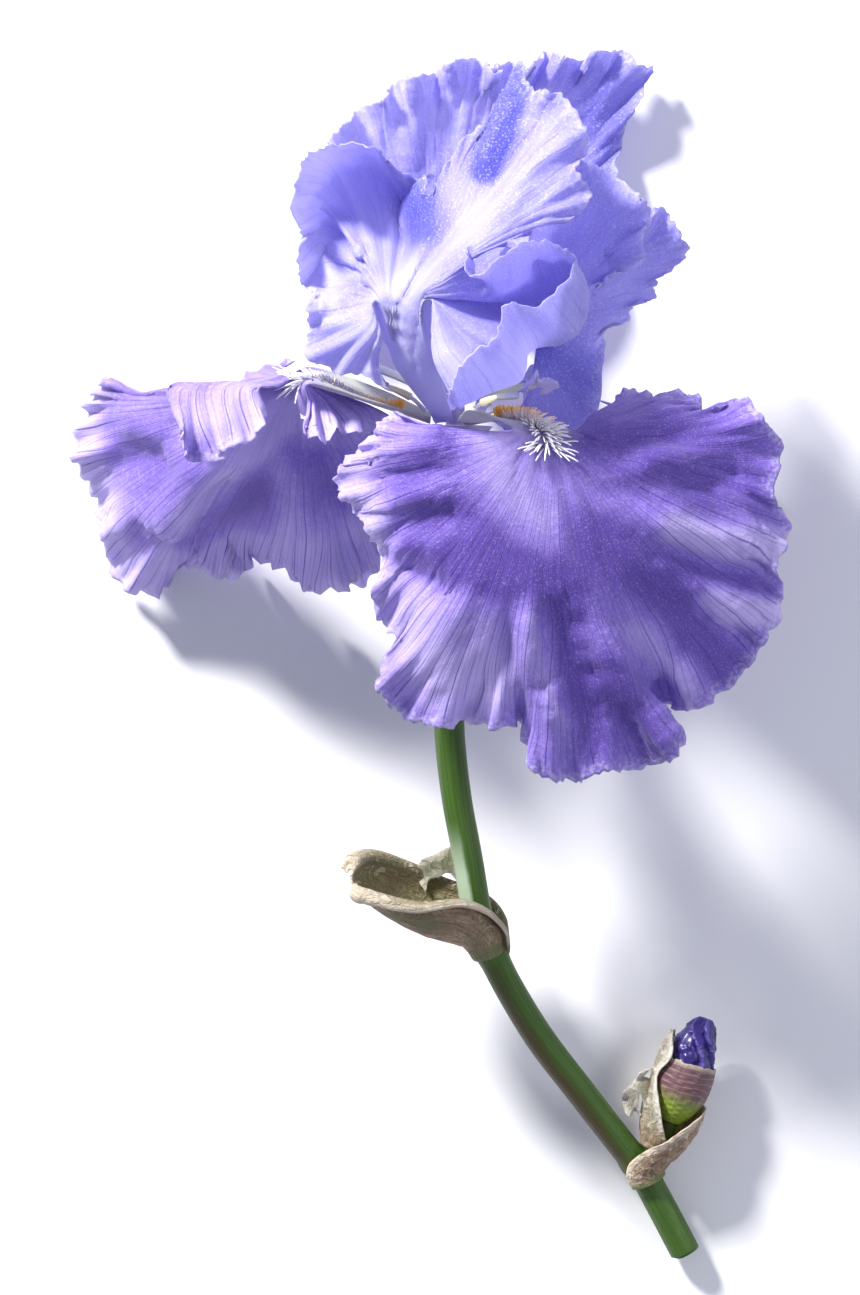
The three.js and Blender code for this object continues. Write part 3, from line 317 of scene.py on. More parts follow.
# Ridges (above 0) and grooves pressed into a petal: height, width, and the line that they follow from above.
CREASES = {
    "fall_front": [
        (2.6, 3.2, [(20, 11.4), (22.7, -0.5), (27.1, -11.4), (30.3, -20)]),
        (-3, 4.6, [(28.2, 11.4), (30.3, -0.5), (33.6, -11.4), (36.8, -23.3)]),
        (3, 4, [(37.4, 6), (40.1, -2.7), (45.5, -11.4), (50.9, -18.9), (53.3, -24.4)]),
        (-2.6, 3.2, [(42.4, 7), (46.6, -2.7), (52, -11.4), (54.7, -16.8)]),
        (-1.4, 2.6, [(34.6, 9.2), (36.8, -2.7), (41.1, -13.5), (45.5, -22.2)]),
        (-1, 3.2, [(17.3, 7), (16.2, -2.7), (11.9, -7), (8.7, -15.7)]),
        (1.2, 5, [(11.9, 11.4), (3.2, 1.6), (-5.4, -8.1)]),
        (-2.6, 3.2, [(-11.9, 17.9), (-2.2, 13.5), (4.3, 10.3)]),
        (2.5, 4, [(4.3, 43.9), (-4.3, 41.7), (-15.2, 40.6)]),
        (-1.8, 3, [(3.2, 38.4), (-4.3, 37.4), (-13, 36.3)]),
        (2.2, 3.4, [(5.4, 33), (-2.2, 31.9), (-11.9, 30.9), (-17.3, 31.9)]),
        (-1.1, 3, [(7.6, 27.6), (-2.2, 27.6), (-9.7, 25.4)]),
        (1.6, 3, [(6.5, 23.3), (-2.2, 22.2), (-8.7, 22.2), (-11.9, 24.4)]),
        (-0.8, 2, [(34.6, 36.3), (45.5, 30.9), (55.2, 26.5)]),
        (2.2, 4.6, [(43.3, 29.8), (54.1, 25.4), (65, 23.3), (75.8, 24.4)]),
        (-2.8, 2.8, [(45.5, 22.2), (56.3, 18.9), (65, 15.7), (76.9, 17.9)]),
        (2, 4, [(52, 14.6), (62.8, 10.3), (75.8, 8.1)]),
        (-2, 4, [(45.5, 12.5), (56.3, 7), (66, 1.6), (71.5, -0.5)]),
        (1.2, 5, [(41.1, 3.8), (49.8, -4.9), (60.6, -11.4)]),
        (1.6, 4, [(34.6, 44.9), (45.5, 51.4), (56.3, 53.6)]),
        (-2, 3.2, [(36.8, 41.7), (47.6, 46), (56.3, 47.1)]),
        (2.2, 3.2, [(41.1, 39.5), (52, 41.7), (57.4, 39.5)]),
        (-2, 3.2, [(52, 36.3), (62.8, 37.4), (71.5, 38.4)]),
        (-0.35, 0.8, [(22.7, 43.9), (19.5, 36.3), (21.7, 25.4)]),
        (-0.35, 0.8, [(24.4, 42.8), (24.9, 34.1), (28.2, 21.1)]),
        (0.35, 0.9, [(25.1, 42.2), (27.6, 33), (30.9, 18.9)]),
        (-0.35, 0.8, [(26.5, 41.7), (30.9, 31.9), (34.1, 17.9)]),
        (0.3, 0.9, [(27.6, 41.7), (33.6, 30.9), (37.9, 16.8)]),
        (-0.3, 0.8, [(28.2, 41.7), (35.7, 31.9), (42.2, 21.1)]),
    ],
    "fall_left": [
        (5.5, 5.5, [(-46.5, 43.5), (-52.5, 33), (-57.5, 23.3)]),
        (-4.5, 3, [(-43.5, 38.3), (-48.5, 30), (-54.5, 21.6)]),
        (5.5, 5.5, [(-52, 19.5), (-47, 20.5), (-41.5, 22)]),
        (5.5, 5.5, [(-29, 15.5), (-22.5, 17.5), (-16, 18.5)]),
        (1.6, 4, [(-55.5, 43.8), (-64.4, 48.3), (-72.1, 56)]),
        (-2, 4, [(-56.6, 40.5), (-65.5, 41.6), (-75.5, 38.3)]),
        (1.6, 4, [(-59.9, 31.6), (-67.7, 28.3), (-71, 23.9)]),
        (-1.4, 3, [(-30, 49.4), (-33.3, 39.4), (-36.6, 27.2)]),
        (1.2, 3.4, [(-28.8, 49.4), (-28.8, 39.4), (-30, 27.2)]),
        (-1.4, 3, [(-27.7, 49.4), (-23.3, 39.4), (-20, 31.6)]),
    ],
    "fall_back": [],
    "standard_front": [
        (1.8, 3, [(-7.6, 51.3), (-9.2, 64.3), (-7, 76.2), (0, 87), (8.6, 96.7), (15.1, 103.2), (20.5, 111.9),
                  (25.9, 121.6)]),
        (0.3, 0.8, [(-3.2, 53.5), (-4.1, 64.3), (-1.1, 75.1), (5.4, 84.8)]),
        (-3, 3.2, [(10.3, 101.1), (14.6, 110.8), (17.8, 121.6)]),
        (-3, 7, [(-7.6, 93.5), (-3.2, 97.8), (-1.1, 102.1)]),
        (-1.6, 2.6, [(-25.9, 87), (-19.5, 85.9), (-14.1, 87)]),
        (1.6, 2.6, [(-25.9, 79.4), (-20.5, 82.7), (-14.1, 84.8)]),
        (-1.6, 2.6, [(-24.9, 75.1), (-18.4, 77.3), (-13, 80.5)]),
        (0.8, 3.2, [(18.4, 97.8), (25.9, 101.1), (33.5, 102.1)]),
        (-0.8, 2.6, [(18.4, 102.1), (25.9, 107.5), (32.4, 111.9)]),
    ],
    "standard_left": [
        (-1.3, 3, [(-1.1, 107.4), (-3.2, 117.6), (-4, 129)]),
        (1.1, 4.4, [(-8, 108.5), (-9.7, 117.6), (-11.4, 123.3)]),
        (1.2, 3.6, [(2.5, 108.5), (1.1, 117.6), (0, 127.8)]),
        (-1.2, 2.8, [(9.1, 117.6), (8, 126.7), (6.8, 132.4)]),
        (1, 3, [(12.5, 118.7), (12.5, 126.7), (11.9, 133.5)]),
        (-1, 3, [(38.6, 117.6), (39.8, 126.7), (38.6, 133.5)]),
        (0.9, 3, [(34.1, 117.6), (34.1, 126.7), (33, 133.5)]),
    ],
    "standard_right": [
        (-2, 2.6, [(38.6, 83.2), (45.2, 86.5), (49.6, 93.1)]),
        (1.6, 3.4, [(35.3, 103), (43, 101.9), (47.9, 96.4)]),
        (1.4, 3, [(37.5, 81), (44.1, 81), (51.8, 87.6)]),
    ],
}


# ---- What a user may change ----
def size_setting(name, description, default):
    return FloatProperty(name=name, description=description, default=default, precision=5, unit="LENGTH",
                         subtype="DISTANCE")


def share_setting(name, description, default):
    return FloatProperty(name=name, description=description, default=default, min=0, max=1, subtype="FACTOR")


def colour_setting(name, description, default):
    return FloatVectorProperty(name=name, description=description, default=default, size=3, min=0, max=1,
                               subtype="COLOR")


class IrisPetalSettings(bpy.types.PropertyGroup):
    thickness: size_setting("Thickness", "Thickness of a petal's blade", 0.0005)
    ruffle_depth: size_setting("Ruffle depth", "Height of the ruffles at the margin", 0.0013)
    ruffle_length: size_setting("Ruffle length", "Distance from one ruffle to the next", 0.0075)
    frill_depth: size_setting("Frill depth", "Height of the fine frills at the very edge", 0.00045)
    notch_depth: size_setting("Notch depth", "How deep the margin is nibbled", 0.0011)
    vein_strength: share_setting("Vein strength", "How strongly the veins show", 0.7)
    fall_colour: colour_setting("Falls", "Colour of the falls", (0.345, 0.245, 0.74))
    standard_colour: colour_setting("Standards", "Colour of the standards", (0.5, 0.475, 0.9))
    hair_count: IntProperty(name="Hairs", description="Hairs on one beard", default=300, min=20, max=900)
    hair_length: size_setting("Hair length", "Length of the beard's hairs", 0.0036)


class IrisGreenSettings(bpy.types.PropertyGroup):
    stem_radius: size_setting("Stem radius", "Radius of the flowering stem", 0.00335)
    bract_thickness: size_setting("Bract thickness", "Thickness of the papery bracts", 0.00035)
    stem_colour: colour_setting("Stem", "Colour of the stem", (0.05, 0.115, 0.012))
    paper_colour: colour_setting("Papery bracts", "Colour of the dried bracts", (0.56, 0.4, 0.26))


# ---- Surfaces ----
def hermite(start, end, leave, arrive, w):
    """A curve from start to end that leaves and arrives in these directions, at the share w of its way."""
    return ((2 * w**3 - 3 * w**2 + 1) * start + (3 * w**2 - 2 * w**3) * end
            + (w**3 - 2 * w**2 + w) * leave + (w**3 - w**2) * arrive)


def smooth_line(points, shares):
    """Points at the given shares (0 to 1) of a smooth line through the given points."""
    points = np.asarray(points, float)
    padded = np.vstack([2 * points[:1] - points[1:2], points, 2 * points[-1:] - points[-2:-1]])
    place = np.clip(shares, 0, 1) * (len(points) - 1)
    first = np.minimum(place.astype(int), len(points) - 2)
    before, start, end, after = (padded[first + k] for k in range(4))
    return hermite(start, end, (end - before) / 2, (after - start) / 2, (place - first)[..., None])


def along_ribs(knots, shares):
    """Rows of points along smooth ribs. knots is an array of (knots, ribs, 3)."""
    padded = np.concatenate([2 * knots[:1] - knots[1:2], knots, 2 * knots[-1:] - knots[-2:-1]])
    gaps = np.linalg.norm(np.diff(padded, axis=0), axis=2, keepdims=True) ** 0.5 + 1e-6
    rows = []
    for share in shares:
        place = share * (len(knots) - 1)
        k = min(int(place), len(knots) - 2)
        before, start, end, after = padded[k:k + 4]
        g0, g1, g2 = gaps[k:k + 3]
        leave = ((start - before) / g0 - (end - before) / (g0 + g1) + (end - start) / g1) * g1
        arrive = ((end - start) / g1 - (after - start) / (g1 + g2) + (after - end) / g2) * g1
        rows.append(hermite(start, end, leave, arrive, place - k))
    return np.array(rows)


def unit(vectors):
    """The vectors at length 1."""
    return vectors / np.maximum(np.linalg.norm(vectors, axis=-1, keepdims=True), 1e-9)


def calm_heights(ribs):
    """The margin's heights with its waves evened out, so that waves stay near the margin."""
    last = len(ribs) - 1
    calm = []
    for i, rib in enumerate(ribs):
        steps = range(-CALM_REACH, CALM_REACH + 1)
        weights = [CALM_REACH + 1 - abs(step) for step in steps]
        near = [ribs[min(last, max(0, i + step))][2] for step in steps]
        calm.append(rib[2] if len(rib) > 4 else float(np.average(near, weights=weights)))
    return calm


def evened(row, held, passes):
    """Evens out a row of points, but holds the ones that a fold fixes."""
    row = np.array(row)
    for _ in range(passes):
        padded = np.vstack([row[:1], row, row[-1:]])
        even = (padded[:-2] + 2 * padded[1:-1] + padded[2:]) / 4
        row[~held] = even[~held]
    return row


def petal_grid(shape, rows, columns, margin_wave=1.0):
    """The middle surface of a petal, in mm: rows from base to margin, columns from side to side."""
    hub = np.array(shape["claw"][2], float)
    belly, shoulder, margin = [], [], []
    held = np.array([len(rib) > 4 for rib in shape["ribs"]])
    for rib, calm in zip(shape["ribs"], calm_heights(shape["ribs"])):
        x, y, z, swell = rib[:4]
        rise = np.array([0, 0, swell])
        level = np.array([x, y, calm])
        if len(rib) > 4:
            fold = np.array(rib[4], float)
            belly.append(hub + (fold - hub) * FOLD_BELLY + rise)
            shoulder.append(fold)
        else:
            belly.append(hub + (level - hub) * BELLY + rise)
            wave = np.array([0, 0, (z - calm) * WAVE_AT_SHOULDER])
            shoulder.append(hub + (level - hub) * SHOULDER + rise * SHOULDER_SWELL + wave)
        margin.append((x, y, calm + (z - calm) * margin_wave))
    belly, shoulder = evened(belly, held, 9), evened(shoulder, held, 4)
    t = np.linspace(-1, 1, columns)[:, None]
    claw = np.array(shape["claw"], float)
    across = unit(np.array(shape["across"], float))
    ups = [unit(np.cross(claw[b] - claw[a], across)) for a, b in ((0, 1), (0, 2), (1, 2))]
    low = [claw[i] + across * shape["half"][i] * t + ups[i] * shape["channel"][i] * t**2 for i in range(3)]
    high = [smooth_line(row, (t[:, 0] + 1) / 2) for row in (belly, shoulder, margin)]
    return along_ribs(np.array(low + high), np.linspace(0, 1, rows) ** ROW_SPACING)


def sheath_grid(stations, rows, columns, stretch=1.0):
    """The middle surface of a bract that wraps an axis: rows along the axis, columns round it. stretch is how
    much further than the drawing it wraps."""
    s = np.linspace(0, 1, rows)
    axis = smooth_line([station[0] for station in stations], s)
    tangent = unit(np.gradient(axis, axis=0))
    opening = smooth_line([station[1] for station in stations], s)
    opening = unit(opening - tangent * (opening * tangent).sum(axis=1, keepdims=True))
    side = np.cross(tangent, opening)
    radius, wrap = smooth_line([(station[2], station[3]) for station in stations], s).T
    angle = np.radians(np.minimum(wrap * stretch, WIDEST_WRAP))[:, None] * np.linspace(-1, 1, columns)
    out = -np.cos(angle)[..., None] * opening[:, None] + np.sin(angle)[..., None] * side[:, None]
    return axis[:, None] + out * radius[:, None, None]


def row_shares(grid):
    """A column with each row's share of the way from the base to the margin."""
    return np.linspace(0, 1, grid.shape[0])[:, None]


def normals_of(grid):
    return unit(np.cross(np.gradient(grid, axis=0), np.gradient(grid, axis=1)))


def drift(along, spacing, seed):
    """A smooth random line between about -1 and 1, with a knot every so many mm."""
    along = along - along.min()
    count = int(along.max() / spacing) + 3
    knots = np.random.default_rng(seed).uniform(-1, 1, (count, 1))
    return smooth_line(knots, along / (spacing * (count - 1)))[..., 0]


def uneven(u, v, seed):
    """Smooth random relief between about -1 and 1, with a knot at each whole number of u and v."""
    u, v = u - u.min(), v - v.min()
    knots = np.random.default_rng(seed).uniform(-1, 1, (int(u.max()) + 3, int(v.max()) + 3))
    i, j = u.astype(int), v.astype(int)
    a, b = ((w - w.astype(int)) ** 2 * (3 - 2 * (w - w.astype(int))) for w in (u, v))
    near = knots[i, j] * (1 - a) + knots[i + 1, j] * a
    far = knots[i, j + 1] * (1 - a) + knots[i + 1, j + 1] * a
    return near * (1 - b) + far * b


def waves(along, length, seed):
    """Irregular waves along a margin, about length mm apart."""
    strength = 0.65 + 0.35 * drift(along, 3 * length, seed)
    return strength * np.sin(2 * np.pi * along / length + 2.4 * drift(along, 2 * length, seed + 1))


def distances(grid):
    """The length along the margin of each column, and each point's distance from the margin, in mm."""
    edge = np.linalg.norm(np.diff(grid[-1], axis=0), axis=1)
    along = np.concatenate([[0], np.cumsum(edge)])
    steps = np.linalg.norm(np.diff(grid, axis=0), axis=2)
    reach = np.vstack([np.cumsum(steps[::-1], axis=0)[::-1], np.zeros(grid.shape[1])])
    return np.broadcast_to(along, reach.shape), reach


def edge_distance(grid):
    """Each point's distance in mm from the nearest free edge of a bract: its two long sides or its end."""
    across = np.linalg.norm(np.diff(grid, axis=1), axis=2)
    from_first = np.cumsum(np.pad(across, ((0, 0), (1, 0))), axis=1)
    from_last = from_first[:, -1:] - from_first
    return np.minimum(np.minimum(from_first, from_last), distances(grid)[1])


def creased(grid, creases):
    """Presses ridges and grooves into a petal along lines drawn from above, on its topmost layer."""
    flat = grid.reshape(-1, 3)
    lift = np.zeros(len(flat))
    for height, width, line in creases:
        drawn = smooth_line(line, np.linspace(0, 1, 30))
        on_petal = []
        for point in drawn:
            apart = np.hypot(*(flat[:, :2] - point).T)
            near = flat[apart < apart.min() + 1]
            on_petal.append(near[near[:, 2].argmax()])
        gaps = np.array([np.linalg.norm(flat - point, axis=1) for point in on_petal])
        share = gaps.argmin(axis=0) / (len(on_petal) - 1)
        taper = np.minimum(1, 4 * np.minimum(share + 0.05, 1.05 - share))
        lift += height * np.exp(-(gaps.min(axis=0) / width) ** 2) * taper
    return grid + normals_of(grid) * lift.reshape(grid.shape[:2])[..., None]


def above_table(grid, half):
    """Where a sheet would sink into the table it lies flat on it."""
    height = grid[..., 2] - half
    settled = (height + np.sqrt(height**2 + SETTLING)) / 2
    grid[..., 2] = settled + half
    return grid


# ---- Meshes ----
def make_object(name, points, faces, facts, finish):
    """A piece from points in mm. facts is the named numbers of each point that its finish reads."""
    mesh = bpy.data.meshes.new(name)
    places = (np.asarray(points, float) + SHIFT) * MM
    mesh.from_pydata(places.tolist(), [], [list(map(int, face)) for face in faces])
    for fact, values in facts.items():
        values = np.asarray(values, np.float32)
        kind, key = ("FLOAT_VECTOR", "vector") if values.ndim > 1 else ("FLOAT", "value")
        mesh.attributes.new(fact, kind, "POINT").data.foreach_set(key, values.ravel())
    mesh.polygons.foreach_set("use_smooth", [True] * len(mesh.polygons))
    mesh.materials.append(finish)
    mesh.update()
    piece = bpy.data.objects.new(name, mesh)
    bpy.context.scene.collection.objects.link(piece)
    return piece


def grid_faces(rows, columns):
    """Quads of a closed sheet: its upper points come first, then the lower ones, then the rim is closed."""
    index = np.arange(rows * columns).reshape(rows, columns)
    upper = np.stack([index[:-1, :-1], index[1:, :-1], index[1:, 1:], index[:-1, 1:]], axis=-1).reshape(-1, 4)
    lower = upper[:, ::-1] + rows * columns
    rim = np.concatenate([index[0, :], index[1:, -1], index[-1, -2::-1], index[-2:0:-1, 0]])
    after = np.roll(rim, -1)
    wall = np.stack([rim, after, after + rows * columns, rim + rows * columns], axis=-1)
    return np.concatenate([upper, lower, wall])


def sheet_piece(name, middle, thickness, finish, facts):
    """A thin closed sheet round a middle surface. thickness is in mm, one number or one for each row. Its
    finish also reads the rib (length along the margin, distance from it, share of the way to it), and which
    points are inside."""
    half = np.broadcast_to(np.asarray(thickness, float) / 2, (middle.shape[0],))[:, None, None]
    middle = above_table(middle.copy(), half[..., 0])
    offset = normals_of(middle) * half
    points = np.concatenate([(middle + offset).reshape(-1, 3), (middle - offset).reshape(-1, 3)])
    points[:, 2] = np.maximum(points[:, 2], LOWEST)
    along, reach = distances(middle)
    rib = np.stack([along, reach, np.broadcast_to(row_shares(middle), reach.shape)], axis=-1).reshape(-1, 3)
    both = {"rib": np.concatenate([rib, rib]), "inside": np.repeat([0.0, 1.0], len(rib))}
    for fact, values in facts.items():
        both[fact] = np.concatenate([values.ravel(), values.ravel()])
    return make_object(name, points, grid_faces(*middle.shape[:2]), both, finish)


def ring_faces(rings, sides):
    """Quads between rings of points, and a fan at each end round its two centre points, which come last."""
    index = np.arange(rings * sides).reshape(rings, sides)
    turned = np.roll(index, -1, axis=1)
    walls = np.stack([index[:-1], turned[:-1], turned[1:], index[1:]], axis=-1).reshape(-1, 4).tolist()
    first, last = rings * sides, rings * sides + 1
    ends = [[first, b, a] for a, b in zip(index[0], turned[0])]
    ends += [[last, a, b] for a, b in zip(index[-1], turned[-1])]
    return walls + ends


def cross_directions(line):
    """Two steady directions across a line, at each of its points."""
    tangent = unit(np.gradient(line, axis=0))
    side = np.zeros_like(line)
    side[0] = unit(np.cross(tangent[0], (0.3, 0.2, 1)))
    for i in range(1, len(line)):
        side[i] = unit(side[i - 1] - tangent[i] * (side[i - 1] @ tangent[i]))
    return side, np.cross(tangent, side)


def round_angles(sides):
    """The angle of each side of a tube."""
    return np.linspace(0, 2 * np.pi, sides, endpoint=False)


def tube_rings(line, radii, sides):
    """Rings round a line. radii is (rings,) or (rings, sides)."""
    side, other = cross_directions(line)
    angle = round_angles(sides)
    radii = np.broadcast_to(radii if np.ndim(radii) > 1 else np.asarray(radii)[:, None], (len(line), sides))
    out = np.cos(angle)[:, None] * side[:, None] + np.sin(angle)[:, None] * other[:, None]
    return line[:, None] + out * radii[..., None]


def tube_points(rings):
    """The points of a tube, ring by ring, and then the centre of its first and of its last ring."""
    return np.vstack([rings.reshape(-1, 3), rings[0].mean(axis=0), rings[-1].mean(axis=0)])


def tube_facts(rings):
    """For each point of a tube: its share of the way round, of the length, and 1 at the middle of an end."""
    count, sides = rings.shape[:2]
    round_it = np.broadcast_to(np.linspace(0, 1, sides, endpoint=False), (count, sides))
    along = np.broadcast_to(np.linspace(0, 1, count)[:, None], (count, sides))
    rib = np.stack([round_it, along, np.zeros_like(along)], axis=-1).reshape(-1, 3)
    return np.vstack([rib, (0, 0, 1), (0, 1, 1)])


def tube_piece(name, tubes, finish, **facts):
    """A piece made of tubes, each of them rings of points. Facts are the numbers of all their points."""
    points, faces, ribs = [], [], []
    for rings in tubes:
        base = sum(len(part) for part in points)
        points.append(tube_points(rings))
        faces += [[corner + base for corner in face] for face in ring_faces(*rings.shape[:2])]
        ribs.append(tube_facts(rings))
    return make_object(name, np.vstack(points), faces, {"rib": np.vstack(ribs), **facts}, finish)


def wear(piece, slot, *nodes):
    """Hangs a piece on the flower and hides the solids that it stands for; slot, its finish, is not used."""
    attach(piece, "root")
    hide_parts(*nodes)


# ---- Finishes ----
class Value:
    """A shader socket that adds Math nodes when it is used in an expression."""

    def __init__(self, finish, socket):
        self.finish = finish
        self.socket = socket

    def _math(self, operation, *values):
        return self.finish.node("Math", {"operation": operation}, dict(enumerate(values)))

    def __add__(self, other): return self._math("ADD", self, other)
    def __radd__(self, other): return self._math("ADD", other, self)
    def __sub__(self, other): return self._math("SUBTRACT", self, other)
    def __rsub__(self, other): return self._math("SUBTRACT", other, self)
    def __mul__(self, other): return self._math("MULTIPLY", self, other)
    def __rmul__(self, other): return self._math("MULTIPLY", other, self)
    def __truediv__(self, other): return self._math("DIVIDE", self, other)
    def __rtruediv__(self, other): return self._math("DIVIDE", other, self)
    def __mod__(self, other): return self._math("FLOORED_MODULO", self, other)
    def __rmod__(self, other): return self._math("FLOORED_MODULO", other, self)
    def __neg__(self): return self._math("MULTIPLY", self, -1)
    def __abs__(self): return self._math("ABSOLUTE", self)


class Finish:
    """A procedural material. constants are numbers of its shader that are the same all over the surface."""

    def __init__(self, name, **constants):
        self.material = bpy.data.materials.new(name)
        self.material.use_nodes = True
        self.tree = self.material.node_tree
        self.shader = self.tree.nodes["Principled BSDF"]
        self.output = self.tree.nodes["Material Output"]
        for socket, value in constants.items():
            self.shader.inputs[socket.replace("_", " ")].default_value = value

    def node(self, kind, settings=None, sockets=None, output=0):
        """Adds a node of that kind: first its settings, then what its sockets take."""
        made = self.tree.nodes.new("ShaderNode" + kind)
        for key, value in (settings or {}).items():
            setattr(made, key, value)
        for key, value in (sockets or {}).items():
            self.plug(made.inputs[key], value)
        return Value(self, made.outputs[output])

    def plug(self, socket, value):
        if isinstance(value, Value):
            self.tree.links.new(value.socket, socket)
        elif socket.type == "RGBA" and len(value) == 3:
            socket.default_value = (*value, 1)
        else:
            socket.default_value = value

    def place(self):
        """Where a point is on the flower, in metres."""
        return self.node("TexCoord", output=3)

    def fact(self, name, output="Fac"):
        """What the mesh says about each of its points."""
        return self.node("Attribute", {"attribute_name": name}, output=output)

    def rib(self):
        """The three numbers of each point that sheet_piece or tube_facts gives."""
        split = self.node("SeparateXYZ", sockets={0: self.fact("rib", "Vector")}).socket.node
        return [Value(self, socket) for socket in split.outputs]

    def noise(self, vector, scale, detail=2.0, roughness=0.5, distortion=0.0):
        return self.node("TexNoise", sockets={"Vector": vector, "Scale": scale, "Detail": detail,
                                              "Roughness": roughness, "Distortion": distortion})

    def streaks(self, across, lengthwise, detail=3.0, roughness=0.5):
        """Noise that is drawn out along a piece."""
        return self.noise(self.node("CombineXYZ", sockets={0: across, 1: lengthwise}), 1.0, detail, roughness)

    def smooth(self, value, low, high):
        """0 below low and 1 above high, with a smooth step between them."""
        return self.node("MapRange", {"interpolation_type": "SMOOTHSTEP"}, {0: value, 1: low, 2: high})

    def layered(self, base, *layers):
        """Lays colours over a base. Each layer is the share that it covers, and its colour."""
        for share, colour in layers:
            base = self.node("Mix", {"data_type": "RGBA"}, {0: share, 6: base, 7: colour}, 2)
        return base

    def line(self, value, width):
        """1 on each whole number of value, fading to 0 at that width."""
        gap = abs((value + 0.5) % 1.0 - 0.5)
        return 1 - self.smooth(gap, 0.0, width)

    def done(self, colour, roughness=None, relief=None, height=0.0, strength=0.0):
        """Plugs in the colour and, where there is one, the relief, which stands height metres out."""
        self.plug(self.shader.inputs["Base Color"], colour)
        if relief is not None:
            self.plug(self.shader.inputs["Roughness"], roughness)
            bump = self.node("Bump", sockets={"Strength": strength, "Distance": height, "Height": relief})
            self.plug(self.shader.inputs["Normal"], bump)
        return self.material

    def let_light_through(self, share, colour):
        """Mixes in the light that a thin petal lets through from behind."""
        thin = self.node("BsdfTranslucent", sockets={"Color": colour})
        both = self.node("MixShader", sockets={0: share, 1: Value(self, self.shader.outputs[0]), 2: thin})
        self.plug(self.output.inputs["Surface"], both)


def petal_finish(name, colour, pale, deep, haft, strength, glint_share, thin):
    """Silky petal: forking veins, a pale nibbled edge, painted glint specks of near white over its skin and
    more along its margin, light and shade painted on in paler and deeper patches, and a pale veined haft.
    strength is that of the veins, the number after it how strongly the painted glint specks show, and thin
    how much light comes through."""
    finish = Finish(name, Sheen_Weight=0.25, Sheen_Roughness=0.4, Specular_IOR_Level=0.4)
    smooth, colour = finish.smooth, np.array(colour)
    place = finish.place()
    along, reach, s = finish.rib()
    # Random tone, and the patches of painted light and painted shade that petal_piece lays on
    tone_and_painted_light = finish.fact("tone_and_painted_light")
    wander = finish.streaks(along * 0.05, s * 2.2, 2.0)
    streak = finish.streaks(along * 0.7, s * 2.0)
    blotch = finish.noise(place, 75.0, 4.0)
    cells = finish.noise(place, 2600.0, 0.0)
    grain = finish.noise(place, 900.0, 3.0)
    main = finish.line(along / 6.1 + wander * 1.3, 0.06)
    forks = finish.line(along / 2.3 + wander * 2.4, 0.13) * smooth(s, 0.42, 0.62)
    veins = (main * 0.95 + forks * 0.45) * smooth(s, 0.3, 0.45) * smooth(reach, 0.2, 3.5) * strength
    edge = (1 - smooth(reach + streak, 0.4, 2.4)) * 0.3
    # Painted glint specks: near-white dots mixed into the colour over the skin and along the margin, where
    # the skin would sparkle in the light; the skin is also glossier there.
    painted_rim_glints = smooth(grain, 0.42, 0.62) * (1 - smooth(reach, 0.0, 5.0)) * 0.32
    painted_glints_and_gloss = smooth(cells, 0.6, 0.72) * glint_share + painted_rim_glints
    blade = finish.layered(
        colour * (0.72, 0.66, 0.85),
        (smooth(streak * 0.5 + blotch, 0.62, 0.95), colour),
        (smooth(grain, 0.45, 0.75) * 0.3, pale),
        # paler where light is painted on, deeper where shade is painted on
        (smooth(tone_and_painted_light, -0.15, 1.0), pale),
        (smooth(-tone_and_painted_light, -0.1, 0.9), deep),
        (veins, colour * (0.3, 0.24, 0.5)),
        (edge, pale),
        # the painted glint specks
        (painted_glints_and_gloss, (0.95, 0.94, 1.0)),
    )
    haft_vein = finish.line(along / 11.0 + wander * 1.2, 0.16) * smooth(streak, 0.3, 0.6)
    base = finish.layered(haft, (haft_vein * strength * 0.8, (0.2, 0.1, 0.07)),
                          (smooth(s, 0.22, 0.42), blade))
    relief = streak * 0.3 + grain * 0.35 + cells * 0.12 - veins * 0.4
    material = finish.done(base, 0.5 - painted_glints_and_gloss * 0.25 + grain * 0.1, relief, 0.0007, 0.6)
    finish.let_light_through(thin, (colour * 2 + pale) / 3)
    return material


def beard_finish(name):
    """Hairs from orange at the throat to white at the hub, each a little darker and greyer towards its root.
    """
    finish = Finish(name, Sheen_Weight=0.2)
    along, up, chance = finish.rib()
    tips = finish.smooth(up, 0.65, 0.95) * (1 - finish.smooth(along, 0.45, 0.85))
    body = finish.layered(
        (1.0, 0.5, 0.02),
        (finish.smooth(along + chance * 0.25, 0.12, 0.6), (0.86, 0.84, 0.88)),
        (tips * 0.85, (0.95, 0.5, 0.04)),
        ((1 - finish.smooth(up, 0.0, 0.35)) * 0.7, (0.62, 0.56, 0.6)),
    )
    streak = finish.noise(finish.place(), 2600.0, 2.0)
    return finish.done(body, 0.45 + streak * 0.2, streak, 0.0002, 0.4)


def style_finish(name):
    """Pale violet blade that is greener at its base."""
    finish = Finish(name, Sheen_Weight=0.25)
    along, _, s = finish.rib()
    streak = finish.streaks(along * 1.4, s * 2.0)
    base = finish.layered((0.3, 0.26, 0.62), (streak, (0.55, 0.5, 0.86)),
                          (1 - finish.smooth(s, 0.1, 0.5), (0.72, 0.78, 0.55)))
    return finish.done(base, 0.4 + streak * 0.2, streak, 0.0005, 0.5)


def stamen_finish(name):
    """Pale violet filament below, and a cream anther dusted with pollen above."""
    finish = Finish(name)
    _, along, _ = finish.rib()
    grain = finish.noise(finish.place(), 3500.0, 2.0)
    base = finish.layered((0.74, 0.72, 0.9), (finish.smooth(along, 0.47, 0.52), (0.86, 0.76, 0.5)),
                          (grain * 0.4, (0.95, 0.88, 0.68)))
    return finish.done(base, 0.6 + grain * 0.3, grain, 0.0004, 0.6)


